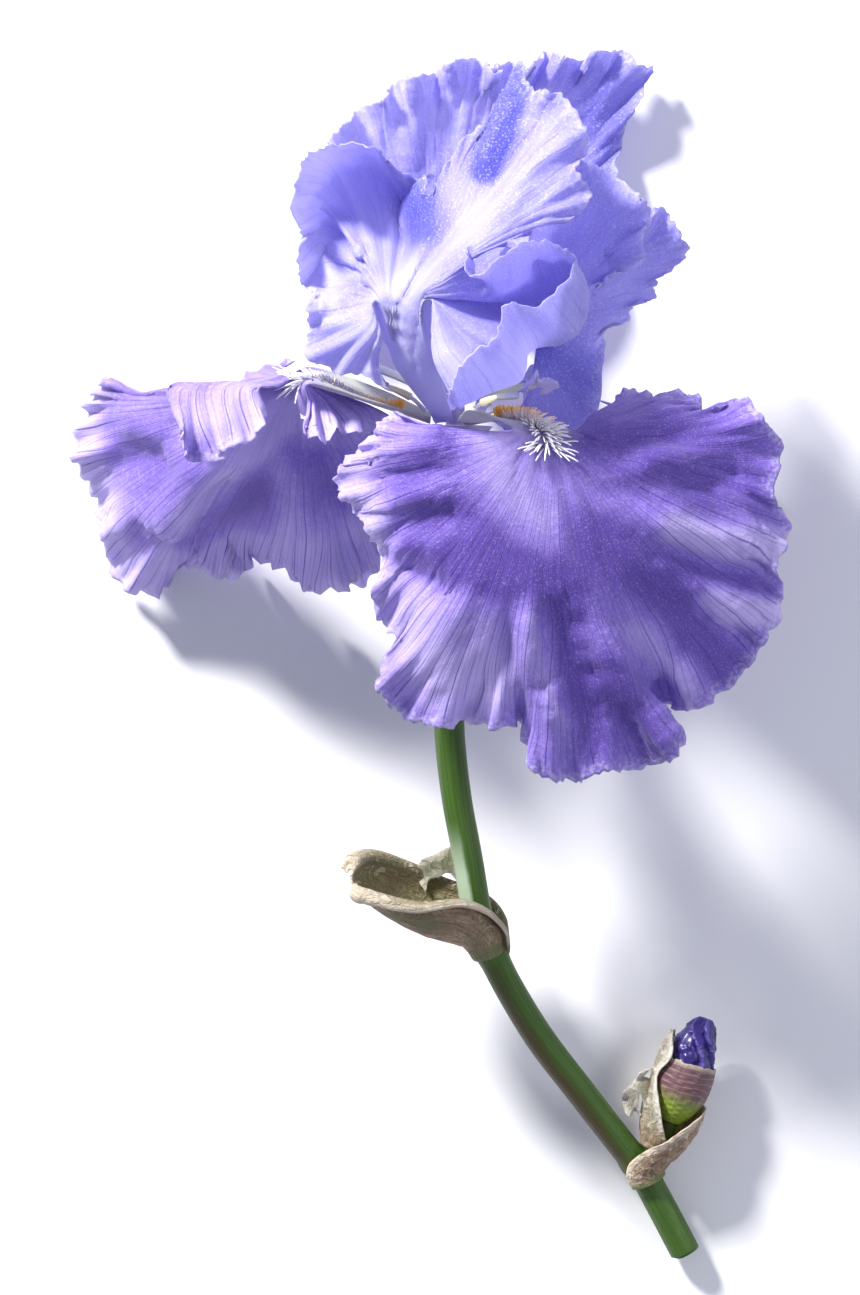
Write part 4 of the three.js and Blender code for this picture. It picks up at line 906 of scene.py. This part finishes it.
def stem_finish(name, colour):
    """Green stem with fine lengthwise lines; on its upper left side, towards the key light, a pale waxy strip
    that is partly a painted highlight, and lower down on that side a dark brown that is partly painted shade.
    """
    finish = Finish(name, Specular_IOR_Level=0.35, Coat_Weight=0.06, Coat_Roughness=0.35)
    smooth, colour = finish.smooth, np.array(colour)
    place = finish.place()
    around, along, end = finish.rib()
    # How far each point faces up and to the left, towards the key light: the side where the pale waxy strip,
    # partly a painted highlight, and the brown lower down, partly painted shade, are laid.
    key_light_side = finish.fact("bloom")
    lines = finish.streaks(around * 60.0, along * 9.0)
    patches = finish.noise(place, 130.0, 3.0)
    specks = finish.noise(place, 1500.0, 2.0)
    wax_highlight_stretch = smooth(along, 0.3, 0.38) * (1 - smooth(along, 0.45, 0.46))
    brown_shade_stretch = smooth(along, 0.48, 0.62) * (1 - smooth(along, 0.78, 0.9))
    base = finish.layered(
        colour * 0.75,
        (smooth(lines, 0.35, 0.7), colour * 1.1),
        # pale wax that is partly a painted highlight, then brown that is partly painted shade, both on the
        # side towards the key light
        (smooth(key_light_side + patches * 0.3, 0.62, 0.9) * wax_highlight_stretch * 0.85, (0.5, 0.62, 0.45)),
        (smooth(key_light_side + patches * 0.5, 0.35, 1.0) * brown_shade_stretch * 0.85, (0.06, 0.032, 0.012)),
        (smooth(specks, 0.68, 0.78) * 0.4, (0.2, 0.27, 0.09)),
        (end, (0.5, 0.55, 0.3)),
    )
    return finish.done(base, 0.36 + patches * 0.2, lines * 0.7 + specks * 0.3, 0.0004, 0.5)


def ovary_finish(name):
    """Green ovary whose tube turns violet towards the bloom."""
    finish = Finish(name, Coat_Weight=0.1)
    around, along, _ = finish.rib()
    lines = finish.streaks(around * 40.0, along * 6.0)
    base = finish.layered((0.12, 0.22, 0.04), (lines, (0.25, 0.36, 0.1)),
                          (finish.smooth(along, 0.42, 0.72), (0.45, 0.4, 0.62)))
    return finish.done(base, 0.4 + lines * 0.2, lines, 0.0005, 0.5)


def paper_finish(name, light, dark, green, green_share, root=None, root_reach=0.22):
    """Dried bract: lengthwise fibres, crinkles, brown blotches and patches that are still green. It is
    greener inside, its rim is pale, and up to root_reach it takes the root's colour. Its crinkles also get
    painted shade, thin dark lines where they fold, and near the rim painted highlights, pale flecks on their
    crests."""
    finish = Finish(name, Sheen_Weight=0.15)
    smooth, light, dark = finish.smooth, np.array(light), np.array(dark)
    along, _, s = finish.rib()
    edge = finish.fact("edge")
    inside = finish.fact("inside")
    place = finish.place()
    threads = finish.streaks(along * 5.5, s * 9.0, 3.0, 0.6)
    fibres = finish.streaks(along * 1.1, s * 3.0, 4.0, 0.65)
    crinkle = finish.noise(place, 420.0, 4.0, 0.6, 1.2)
    blotch = finish.noise(place, 110.0, 3.0)
    bright = 1 - (1 - light) * (0.32, 0.42, 0.56)
    base = finish.layered(
        dark,
        (smooth(fibres, 0.3, 0.7), light),
        (smooth(blotch, 0.42, 0.7) * 0.7, dark * 0.7),
        (smooth(threads, 0.48, 0.62) * 0.7, dark * 0.4),
        (inside * smooth(fibres, 0.25, 0.55) * 0.85, green),
        # painted shade: thin dark lines in the folds of the crinkles
        ((1 - smooth(abs(crinkle - 0.5), 0.0, 0.045)) * 0.55, dark * 0.35),
        (smooth(blotch + crinkle, 1.2 - 0.5 * green_share, 1.25) * 0.8, green),
        ((1 - smooth(edge + blotch * 1.6 + threads, 1.4, 4.0)) * 0.85, bright),
        # painted highlight: pale flecks on the crinkles near the rim
        (smooth(crinkle, 0.54, 0.62) * (1 - smooth(edge, 2.0, 9.0)) * 0.8, bright),
        (1 - smooth(s + blotch * 0.2, 0.12, root_reach), root or green),
    )
    relief = fibres * 0.5 + crinkle * 0.6 + threads * 0.35
    material = finish.done(base, 0.55 + crinkle * 0.35, relief, 0.0024, 0.9)
    finish.let_light_through(0.25, light)
    return material


def bud_bract_finish(name):
    """Green bract of the bud: lime at its base, purplish brown above, with faint pale lines round it."""
    finish = Finish(name, Coat_Weight=0.1)
    along, reach, s = finish.rib()
    fibres = finish.streaks(along, s * 2.5)
    blotch = finish.noise(finish.place(), 220.0, 3.0)
    hoops = finish.line(s * 11.0 + blotch * 1.4, 0.13) * finish.smooth(s, 0.35, 0.6)
    base = finish.layered(
        (0.24, 0.34, 0.035),
        (finish.smooth(s + fibres * 0.25, 0.35, 0.75), (0.13, 0.06, 0.07)),
        (hoops * 0.4, (0.42, 0.33, 0.28)),
        ((1 - finish.smooth(reach, 0.2, 1.4)) * 0.6, (0.55, 0.48, 0.36)),
    )
    return finish.done(base, 0.4 + fibres * 0.2, fibres + blotch * 0.4, 0.0005, 0.5)


def furled_finish(name):
    """Deep violet furled petals with a paler violet painted along the edges of their folds as a highlight."""
    finish = Finish(name, Specular_IOR_Level=0.35, Coat_Weight=0.35, Coat_Roughness=0.2)
    around, along, fold = finish.rib()
    streak = finish.streaks(around * 9.0, along * 3.0)
    base = finish.layered((0.012, 0.006, 0.075), (streak, (0.045, 0.025, 0.24)),
                          (fold * 0.5, (0.22, 0.17, 0.66)))
    return finish.done(base, 0.3 + streak * 0.2, streak, 0.0004, 0.6)


# ---- The pieces ----
def bites(along, length, ease, fine, share, seed):
    """How deeply a margin is bitten: broad bites about length mm apart, and a share of finer ones."""
    broad = np.clip(waves(along, length, seed) - ease, 0, 1)
    return broad + share * np.clip(drift(along, fine, seed + 2), 0, 1)


def drawn_in(grid, depth, reach, width, rows):
    """Draws a margin inwards by its depth, which fades about width mm from it. Inwards is rows rows back."""
    inward = unit(grid[-1 - rows] - grid[-1])
    return grid + inward[None] * (depth * np.exp(-(reach / width) ** 2))[..., None]


def ruffled(grid, settings, share, seed):
    """Adds what the drawing leaves out: broad silky pleats, ruffles and frills that grow to the margin.
    share is how much of the ruffles each column gets."""
    along, reach = distances(grid)
    to_mm = 1 / MM
    length = settings.ruffle_length * to_mm
    near = np.exp(-(reach / RUFFLE_REACH) ** 1.5)
    very_near = np.exp(-(reach / FRILL_REACH) ** 1.5)
    lean = along + reach * 0.25 * drift(along, 25, seed + 7)
    ruffle = share * settings.ruffle_depth * to_mm * waves(lean, length, seed) * near
    frill = settings.frill_depth * to_mm * waves(lean, length * 0.42, seed + 3) * very_near
    s = row_shares(grid)
    blade = np.clip((s - 0.45) * 2.5, 0, 1)
    swell = 0.7 * uneven(along / 17, reach / 13, seed + 13) * blade
    dimple = 0.22 * uneven(along / 4.2, reach / 3.6, seed + 15) * blade
    pleat = 0.1 * waves(along + 3 * s, 5.5, seed + 5) * blade * (1 - near * 0.5)
    moved = grid + normals_of(grid) * (ruffle + frill + swell + dimple + pleat)[..., None]
    depth = settings.notch_depth * to_mm * bites(along[-1], 2.6, 0.15, 1.2, 0.5, seed + 9)
    return drawn_in(moved, depth, reach, NIBBLE_REACH, 3)


def petal_piece(name, finish, settings, seed):
    """A petal from its drawing: creased, ruffled, with light and shade painted on in patches, and thinner
    towards its margin.
    """
    shape = PETALS[name]
    grid = petal_grid(shape, PETAL_ROWS, RIB_COLUMNS * (len(shape["ribs"]) - 1) + 1, MARGIN_WAVE[name])
    grid = creased(grid, CREASES[name])
    folded = np.repeat([len(rib) > 4 for rib in shape["ribs"]], RIB_COLUMNS)[:grid.shape[1]]
    window = 3 * RIB_COLUMNS
    share = np.convolve(np.where(folded, FLAP_SHARE, 1.0), np.ones(window) / window, mode="same")
    grid = ruffled(grid, settings, RUFFLED[name] * share, seed)
    along, reach = distances(grid)
    # A little random tone, and then painted light and painted shade: paler where the petal would be lit,
    # deeper where a shadow would fall on it.
    tone_and_painted_light = 0.12 * uneven(along / 9, reach / 9, seed + 17)
    for strength, width, line in PAINTED_LIGHT_AND_SHADE[name]:
        drawn = smooth_line(line, np.linspace(0, 1, 16)) if len(line) > 1 else np.array(line, float)
        apart = np.linalg.norm(grid[..., None, :2] - drawn, axis=-1).min(axis=-1)
        tone_and_painted_light += strength * np.exp(-(apart / width) ** 2)
    s = row_shares(grid)[:, 0]
    thickness = settings.thickness / MM * (1 + 1.6 * np.clip(1 - s / 0.35, 0, 1) ** 2 - 0.55 * s**6)
    return sheet_piece(name + "_petal", grid, thickness, finish, {"tone_and_painted_light": tone_and_painted_light})


def beard_piece(name, fall, finish, settings, start, middle, seed):
    """Hundreds of tapered hairs rooted along the midline of a fall's claw. start is where they begin, and
    middle is how much of their length the hairs keep between the beard's two ends."""
    rng = np.random.default_rng(seed)
    grid = petal_grid(PETALS[fall], BEARD_ROWS, BEARD_COLUMNS)
    normals = normals_of(grid)
    count = settings.hair_count
    place = np.sort(rng.uniform(0, 1, count))
    s = start + (BEARD_END - start) * place
    t = rng.normal(0, 0.13, count).clip(-0.3, 0.3) * (0.8 + 0.6 * place)
    i = np.interp(s, row_shares(grid)[:, 0] ** ROW_SPACING, np.arange(BEARD_ROWS)).round().astype(int)
    j = ((t + 1) / 2 * (BEARD_COLUMNS - 1)).round().astype(int)
    up = normals[i, j]
    root = grid[i, j] + up * 0.3
    tipward = unit(grid[np.minimum(i + 3, BEARD_ROWS - 1), j] - grid[i, j])
    sideways = np.cross(tipward, up)
    lean = 0.15 + 1.5 * place**2.5 + rng.normal(0, 0.12, count)
    spread = -t * (2.0 + 3 * place) + rng.normal(0, 0.16, count)
    first = unit(up + tipward * (lean * 0.5)[:, None] + sideways * spread[:, None])
    second = unit(up + tipward * (lean * 1.5)[:, None] + sideways * (spread * 1.7)[:, None])
    full = middle + (1 - middle) * np.abs(2 * place - 0.9) ** 2
    length = settings.hair_length / MM * (0.75 + 0.5 * place) * rng.uniform(0.75, 1.15, count) * full
    radius = 0.14 + 0.08 * place
    bend = HAIR_STEPS[:, None]
    up_hair = np.concatenate([np.repeat(HAIR_STEPS, HAIR_SIDES), [0, 1]])
    hairs, facts = [], []
    for k in range(count):
        line = root[k] + length[k] * (bend * first[k] * (1 - bend / 2) + bend**2 / 2 * second[k])
        hairs.append(tube_rings(line, radius[k] * HAIR_TAPER, HAIR_SIDES))
        facts.append(np.stack(np.broadcast_arrays(place[k], up_hair, rng.uniform()), axis=-1))
    return tube_piece(name + "_hairs", hairs, finish, rib=np.vstack(facts))


def small_blade(name, shape, thickness, finish, seed):
    """A small frilled blade, such as the crest of a style arm or a torn flap of paper."""
    grid = petal_grid(shape, 40, 14 * (len(shape["ribs"]) - 1) + 1)
    along, reach = distances(grid)
    frill = 0.22 * waves(along, 2.6, seed) * np.exp(-(reach / 1.8) ** 1.5)
    grid = grid + normals_of(grid) * frill[..., None]
    return sheet_piece(name, grid, thickness, finish, {"edge": edge_distance(grid)})


def rolled(grid, radius):
    """Rolls the two long margins of a bract outwards, with that radius in mm."""
    columns = grid.shape[1]
    width = columns // 9
    normals = normals_of(grid)
    grid = grid.copy()
    s = row_shares(grid)[..., None]
    roll = radius * (0.35 + 0.65 * s) * np.clip((1.06 - s) * 5, 0, 1)
    turn = np.linspace(1, 0, width, endpoint=False)[None, :, None] * ROLL_TURN
    for rim, step in ((np.arange(width), 1), (columns - 1 - np.arange(width), -1)):
        start = grid[:, rim[-1] + step]
        away = unit(start - grid[:, rim[-1] + 3 * step])
        out = normals[:, rim[-1] + step]
        grid[:, rim] = (start[:, None] + away[:, None] * roll * np.sin(turn)
                        + out[:, None] * roll * (1 - np.cos(turn)))
    return grid


def bract_piece(name, thickness, finish, seed, crinkle=0.3, torn=1.2, roll=0.0):
    """A papery sheath: crinkled along and across its fibres, with a torn margin and, where roll is above 0, a
    rim rolled up with that radius in mm."""
    grid = sheath_grid(BRACTS[name], BRACT_ROWS, BRACT_COLUMNS, ROLL_STRETCH if roll else 1.0)
    s = row_shares(grid)
    along, reach = distances(grid)
    fibres = waves(along + s * 6, 2.3, seed) * 0.35 + waves(along * 2.3 + 4 * s, 1.9, seed + 2) * 0.2
    normals = normals_of(grid)
    grid = grid + normals * (crinkle * fibres * np.clip(s * 4, 0, 1))[..., None]
    cross = waves(np.broadcast_to(s * 30, reach.shape), 3.1, seed + 4) * waves(along, 4.0, seed + 5)
    grid = grid + normals * (crinkle * 0.6 * cross)[..., None]
    grid = drawn_in(grid, torn * bites(along[-1], 3.3, 0, 0.9, 0.4, seed + 6), reach, 2.6, 5)
    edge = edge_distance(grid)
    if roll:
        grid = rolled(grid, roll)
    return sheet_piece(name + "_sheath", grid, thickness, finish, {"edge": edge})


# ---- The steps, one operator each ----
class IRIS_OT_stage(bpy.types.Operator):
    """Makes the floor, the soft lights and the camera that looks down on the flower"""
    bl_idname = "iris.stage"
    bl_label = "Stage"

    def execute(self, context):
        scene = context.scene
        mesh = bpy.data.meshes.new("floor")
        mesh.from_pydata([(-6, -6, 0), (6, -6, 0), (6, 6, 0), (-6, 6, 0)], [], [(0, 1, 2, 3)])
        floor = bpy.data.objects.new("floor", mesh)
        floor.location.z = -0.0002
        scene.collection.objects.link(floor)
        finish = Finish("pale_floor", Roughness=0.85)
        mesh.materials.append(finish.done((0.86, 0.86, 0.87)))

        world = bpy.data.worlds.new("soft_room")
        world.use_nodes = True
        background = world.node_tree.nodes["Background"]
        background.inputs["Color"].default_value = (0.78, 0.82, 1.0, 1)
        background.inputs["Strength"].default_value = 0.5
        scene.world = world
        for name, place, size, power, colour in (
            ("key_softbox", (-0.7, 0.9, 0.7), 0.2, 38.0, (1.0, 0.985, 0.96)),
            ("side_softbox", (1.0, 0.1, 1.0), 0.5, 5.0, (0.93, 0.93, 1.0)),
        ):
            lamp = bpy.data.lights.new(name, "AREA")
            lamp.size = size
            lamp.energy = power
            lamp.color = colour
            light = bpy.data.objects.new(name, lamp)
            light.location = place
            towards = Vector(BLOOM_MIDDLE) - Vector(place)
            light.rotation_euler = towards.to_track_quat("-Z", "Y").to_euler()
            scene.collection.objects.link(light)

        lens = bpy.data.cameras.new("camera")
        lens.sensor_fit = "HORIZONTAL"
        lens.sensor_width = 36
        lens.lens = FOCAL_LENGTH / PHOTO_WIDTH * lens.sensor_width
        lens.clip_start = 0.05
        camera = bpy.data.objects.new("camera", lens)
        camera.location = (SHIFT[0] * MM, SHIFT[1] * MM, CAMERA_HEIGHT)
        scene.collection.objects.link(camera)
        scene.camera = camera
        scene.view_settings.view_transform = "Standard"
        return {"FINISHED"}


class IRIS_OT_falls(bpy.types.Operator):
    """Makes the three falls, which hang outwards"""
    bl_idname = "iris.falls"
    bl_label = "Falls"

    def execute(self, context):
        settings = context.scene.iris_petals
        # The deep colour here is that of the painted shade, the pale one that of the painted light as well as
        # of the pale edge and grain, and 0.14 is how strongly the painted glint specks show.
        finish = petal_finish("silky_fall", settings.fall_colour, (0.64, 0.54, 0.92), (0.14, 0.08, 0.42),
                              (0.72, 0.76, 0.6), settings.vein_strength, 0.14, 0.3)
        for seed, name in enumerate(("fall_front", "fall_left", "fall_back")):
            wear(petal_piece(name, finish, settings, 100 + 20 * seed), "fall", name)
        return {"FINISHED"}


class IRIS_OT_standards(bpy.types.Operator):
    """Makes the three standards, which stand up round the middle"""
    bl_idname = "iris.standards"
    bl_label = "Standards"

    def execute(self, context):
        settings = context.scene.iris_petals
        # The deep colour here is that of the painted shade, the pale one that of the painted light as well as
        # of the pale edge and grain, and 0.5 is how strongly the painted glint specks show.
        finish = petal_finish("silky_standard", settings.standard_colour, (0.75, 0.72, 0.96),
                              (0.1, 0.1, 0.52), (0.76, 0.74, 0.96), settings.vein_strength * 0.5, 0.5, 0.5)
        for seed, name in enumerate(("standard_front", "standard_left", "standard_right")):
            wear(petal_piece(name, finish, settings, 200 + 20 * seed), "standard", name)
        return {"FINISHED"}


class IRIS_OT_beards(bpy.types.Operator):
    """Makes the beards of hairs on the claws of the falls"""
    bl_idname = "iris.beards"
    bl_label = "Beards"

    def execute(self, context):
        settings = context.scene.iris_petals
        finish = beard_finish("beard_hair")
        for seed, side, start, middle in ((300, "front", 0.2, 0.9), (301, "left", 0.1, 0.1),
                                          (302, "back", 0.2, 0.9)):
            piece = beard_piece("beard_" + side, "fall_" + side, finish, settings, start, middle, seed)
            wear(piece, "beard", "beard_" + side)
        return {"FINISHED"}


class IRIS_OT_style(bpy.types.Operator):
    """Makes the style arms over the claws, and the stamens under them"""
    bl_idname = "iris.style"
    bl_label = "Style and stamens"

    def execute(self, context):
        finish = style_finish("style_crest")
        for seed, (name, shape) in enumerate(STYLE_ARMS.items()):
            wear(small_blade(name + "_crest", shape, 0.5, finish, 400 + 10 * seed), "style_arm", name)
        finish = stamen_finish("pollen_and_filament")
        count, sides = 31, 16
        u = np.linspace(0, 1, count)
        anther = 0.95 * np.sin(np.pi * np.clip(u, 0.02, 0.985)) ** 0.4
        radius = np.where(u < 0.5, 0.5 - 0.1 * u, anther)[:, None]
        grooved = radius * (1 - 0.22 * (u > 0.5)[:, None] * np.cos(2 * round_angles(sides)) ** 2)
        for name, line in STAMENS.items():
            rings = tube_rings(smooth_line(line, u), grooved, sides)
            wear(tube_piece(name + "_anther", [rings], finish), "stamen", name)
        return {"FINISHED"}


class IRIS_OT_ovary(bpy.types.Operator):
    """Makes the ribbed ovary with the tube above it"""
    bl_idname = "iris.ovary"
    bl_label = "Ovary"

    def execute(self, context):
        height, radius = smooth_line(OVARY_PROFILE, np.linspace(0, 1, 90)).T
        share = np.clip((height - 0.5) / (THROAT[1] - 0.5), 0, 1)[:, None]
        centre = np.array([4, 0, 46]) * (1 - share) + np.array([THROAT[0], 0, THROAT[2]]) * share
        angle = round_angles(48)
        ribbed = np.clip(1 - np.abs(height - 13) / 16, 0, 1)[:, None]
        r = radius[:, None] * (1 + 0.07 * ribbed * np.cos(6 * angle) + 0.012 * np.cos(18 * angle))
        rings = np.stack([centre[:, :1] + r * np.sin(angle), np.broadcast_to(height[:, None], r.shape),
                          centre[:, 2:] + r * np.cos(angle)], axis=-1)
        wear(tube_piece("ovary_and_tube", [rings], ovary_finish("ovary_green")), "ovary", "ovary_tube")
        return {"FINISHED"}


class IRIS_OT_stem(bpy.types.Operator):
    """Makes the flowering stem with its two nodes and the stalk of the side bud"""
    bl_idname = "iris.stem"
    bl_label = "Stem"

    def execute(self, context):
        settings = context.scene.iris_green
        sides = 40
        tubes, bloom = [], []
        for line, count, width, narrowing, nodes in (
            (STEM_LINE, 260, settings.stem_radius / MM, 0.0, STEM_NODES), (BUD_STALK, 40, 2.4, 0.5, ()),
        ):
            u = np.linspace(0, 1, count)
            path = smooth_line(line, u)
            length = np.concatenate([[0], np.cumsum(np.linalg.norm(np.diff(path, axis=0), axis=1))])
            share = length / length[-1]
            radius = width - narrowing * share + 0.06 * drift(length, 14, 500)
            for node in nodes:
                radius = radius + 0.4 * np.exp(-((share - node) / 0.012) ** 2)
            ribbed = radius[:, None] * (1 + 0.006 * np.cos(11 * round_angles(sides)))
            rings = tube_rings(path, ribbed, sides)
            rings[..., 1] = np.maximum(rings[..., 1], CUT_END)
            rings[..., 2] = np.maximum(rings[..., 2], 2 * LOWEST)
            tubes.append(rings)
            # How far each point faces up and to the left, towards the key light; the stem's finish paints its
            # waxy highlight and brown shade on that side.
            side = unit(rings - path[:, None]) @ unit(np.array([-0.8, -0.1, 0.45]))
            bloom += [side.ravel(), [0, 0]]
        piece = tube_piece("stem_and_stalk", tubes, stem_finish("stem_green", settings.stem_colour),
                           bloom=np.concatenate(bloom))
        wear(piece, "stem", "stem")
        return {"FINISHED"}


class IRIS_OT_spathe(bpy.types.Operator):
    """Makes the dried spathe and the papery valve behind the stem"""
    bl_idname = "iris.spathe"
    bl_label = "Spathe"

    def execute(self, context):
        settings = context.scene.iris_green
        thickness = settings.bract_thickness / MM
        brown = np.array(settings.paper_colour) * (0.55, 0.5, 0.5)
        paper = paper_finish("dry_spathe", settings.paper_colour, brown, (0.2, 0.22, 0.09), 0.5)
        piece = bract_piece("spathe_outer", thickness, paper, 600, crinkle=0.5, roll=2.1)
        wear(piece, "dry_bract", "spathe_outer")
        pale = paper_finish("pale_paper", (0.68, 0.62, 0.48), (0.4, 0.36, 0.22), (0.3, 0.34, 0.18), 0.6)
        wear(small_blade("spathe_valve", SPATHE_INNER, thickness, pale, 620), "pale_bract", "spathe_inner")
        return {"FINISHED"}


class IRIS_OT_bud(bpy.types.Operator):
    """Makes the side bud: three bracts round a furled tip"""
    bl_idname = "iris.bud"
    bl_label = "Side bud"

    def execute(self, context):
        settings = context.scene.iris_green
        thickness = settings.bract_thickness / MM
        brown = np.array(settings.paper_colour) * (0.6, 0.5, 0.45)
        tan = paper_finish("tan_bract", settings.paper_colour, brown, (0.25, 0.28, 0.1), 0.4)
        wear(bract_piece("bud_lower_bract", thickness, tan, 700), "dry_bract", "bud_lower_bract")
        pale = paper_finish("pale_bract", (0.78, 0.74, 0.62), (0.45, 0.38, 0.25), (0.45, 0.5, 0.3), 0.4,
                            (0.46, 0.33, 0.19), 0.52)
        wear(bract_piece("bud_outer_bract", thickness, pale, 720), "pale_bract", "bud_outer_bract")
        wear(small_blade("torn_flap", TORN_FLAP, thickness, pale, 730), "pale_bract", "bud_outer_bract")
        piece = bract_piece("bud_inner_bract", thickness, bud_bract_finish("bud_green"), 740, 0.12, 0.3)
        wear(piece, "green_bract", "bud_inner_bract")

        count, sides = 90, 90
        u = np.linspace(0, 1, count)[:, None]
        angle = round_angles(sides)[None]
        base, tip = (np.array(FURLED[end], float) for end in ("base", "tip"))
        line = base + (tip - base) * u
        turn = (5 * angle / (2 * np.pi) + 2.4 * u + 0.2 * np.sin(13 * u + 2 * angle)) % 1
        crumple = uneven(*np.broadcast_arrays(angle * 3.4, u * 17), 760)
        fold = 1.04 - 0.3 * turn**1.3 + 0.11 * crumple * u
        taper = 0.55 + 0.45 * np.sin(np.clip(u / 0.45, 0, 1) * np.pi / 2) - 0.72 * u**6
        rings = tube_rings(line, FURLED["radius"] * fold * taper, sides)
        facts = tube_facts(rings)
        # The third number is 1 at the outer edge of each furled fold, where the finish paints a highlight.
        facts[:, 2] = np.append(np.clip(1 - turn * 5, 0, 1), [0, 0])
        piece = tube_piece("furled_petals", [rings], furled_finish("furled_violet"), rib=facts)
        wear(piece, "bud_petals", "bud_petals")
        return {"FINISHED"}


class IRIS_PT_panel(bpy.types.Panel):
    """Lists the steps that build the flower"""
    bl_label = "Bearded iris"
    bl_idname = "IRIS_PT_panel"
    bl_space_type = "VIEW_3D"
    bl_region_type = "UI"
    bl_category = "Iris"

    def draw(self, context):
        for group in (context.scene.iris_petals, context.scene.iris_green):
            box = self.layout.box()
            for name in group.__annotations__:
                box.prop(group, name)
        for operator in OPERATORS:
            self.layout.operator(operator.bl_idname)


OPERATORS = (IRIS_OT_stage, IRIS_OT_stem, IRIS_OT_ovary, IRIS_OT_falls, IRIS_OT_standards, IRIS_OT_beards,
             IRIS_OT_style, IRIS_OT_spathe, IRIS_OT_bud)
CLASSES = (IrisPetalSettings, IrisGreenSettings, *OPERATORS, IRIS_PT_panel)


def register():
    for cls in CLASSES:
        bpy.utils.register_class(cls)
    bpy.types.Scene.iris_petals = PointerProperty(type=IrisPetalSettings)
    bpy.types.Scene.iris_green = PointerProperty(type=IrisGreenSettings)


def unregister():
    del bpy.types.Scene.iris_green
    del bpy.types.Scene.iris_petals
    for cls in reversed(CLASSES):
        bpy.utils.unregister_class(cls)


def main():
    register()
    for step in ("stage", "stem", "ovary", "falls", "standards", "beards", "style", "spathe", "bud"):
        getattr(bpy.ops.iris, step)()
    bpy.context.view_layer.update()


if __name__ == "__main__":
    main()
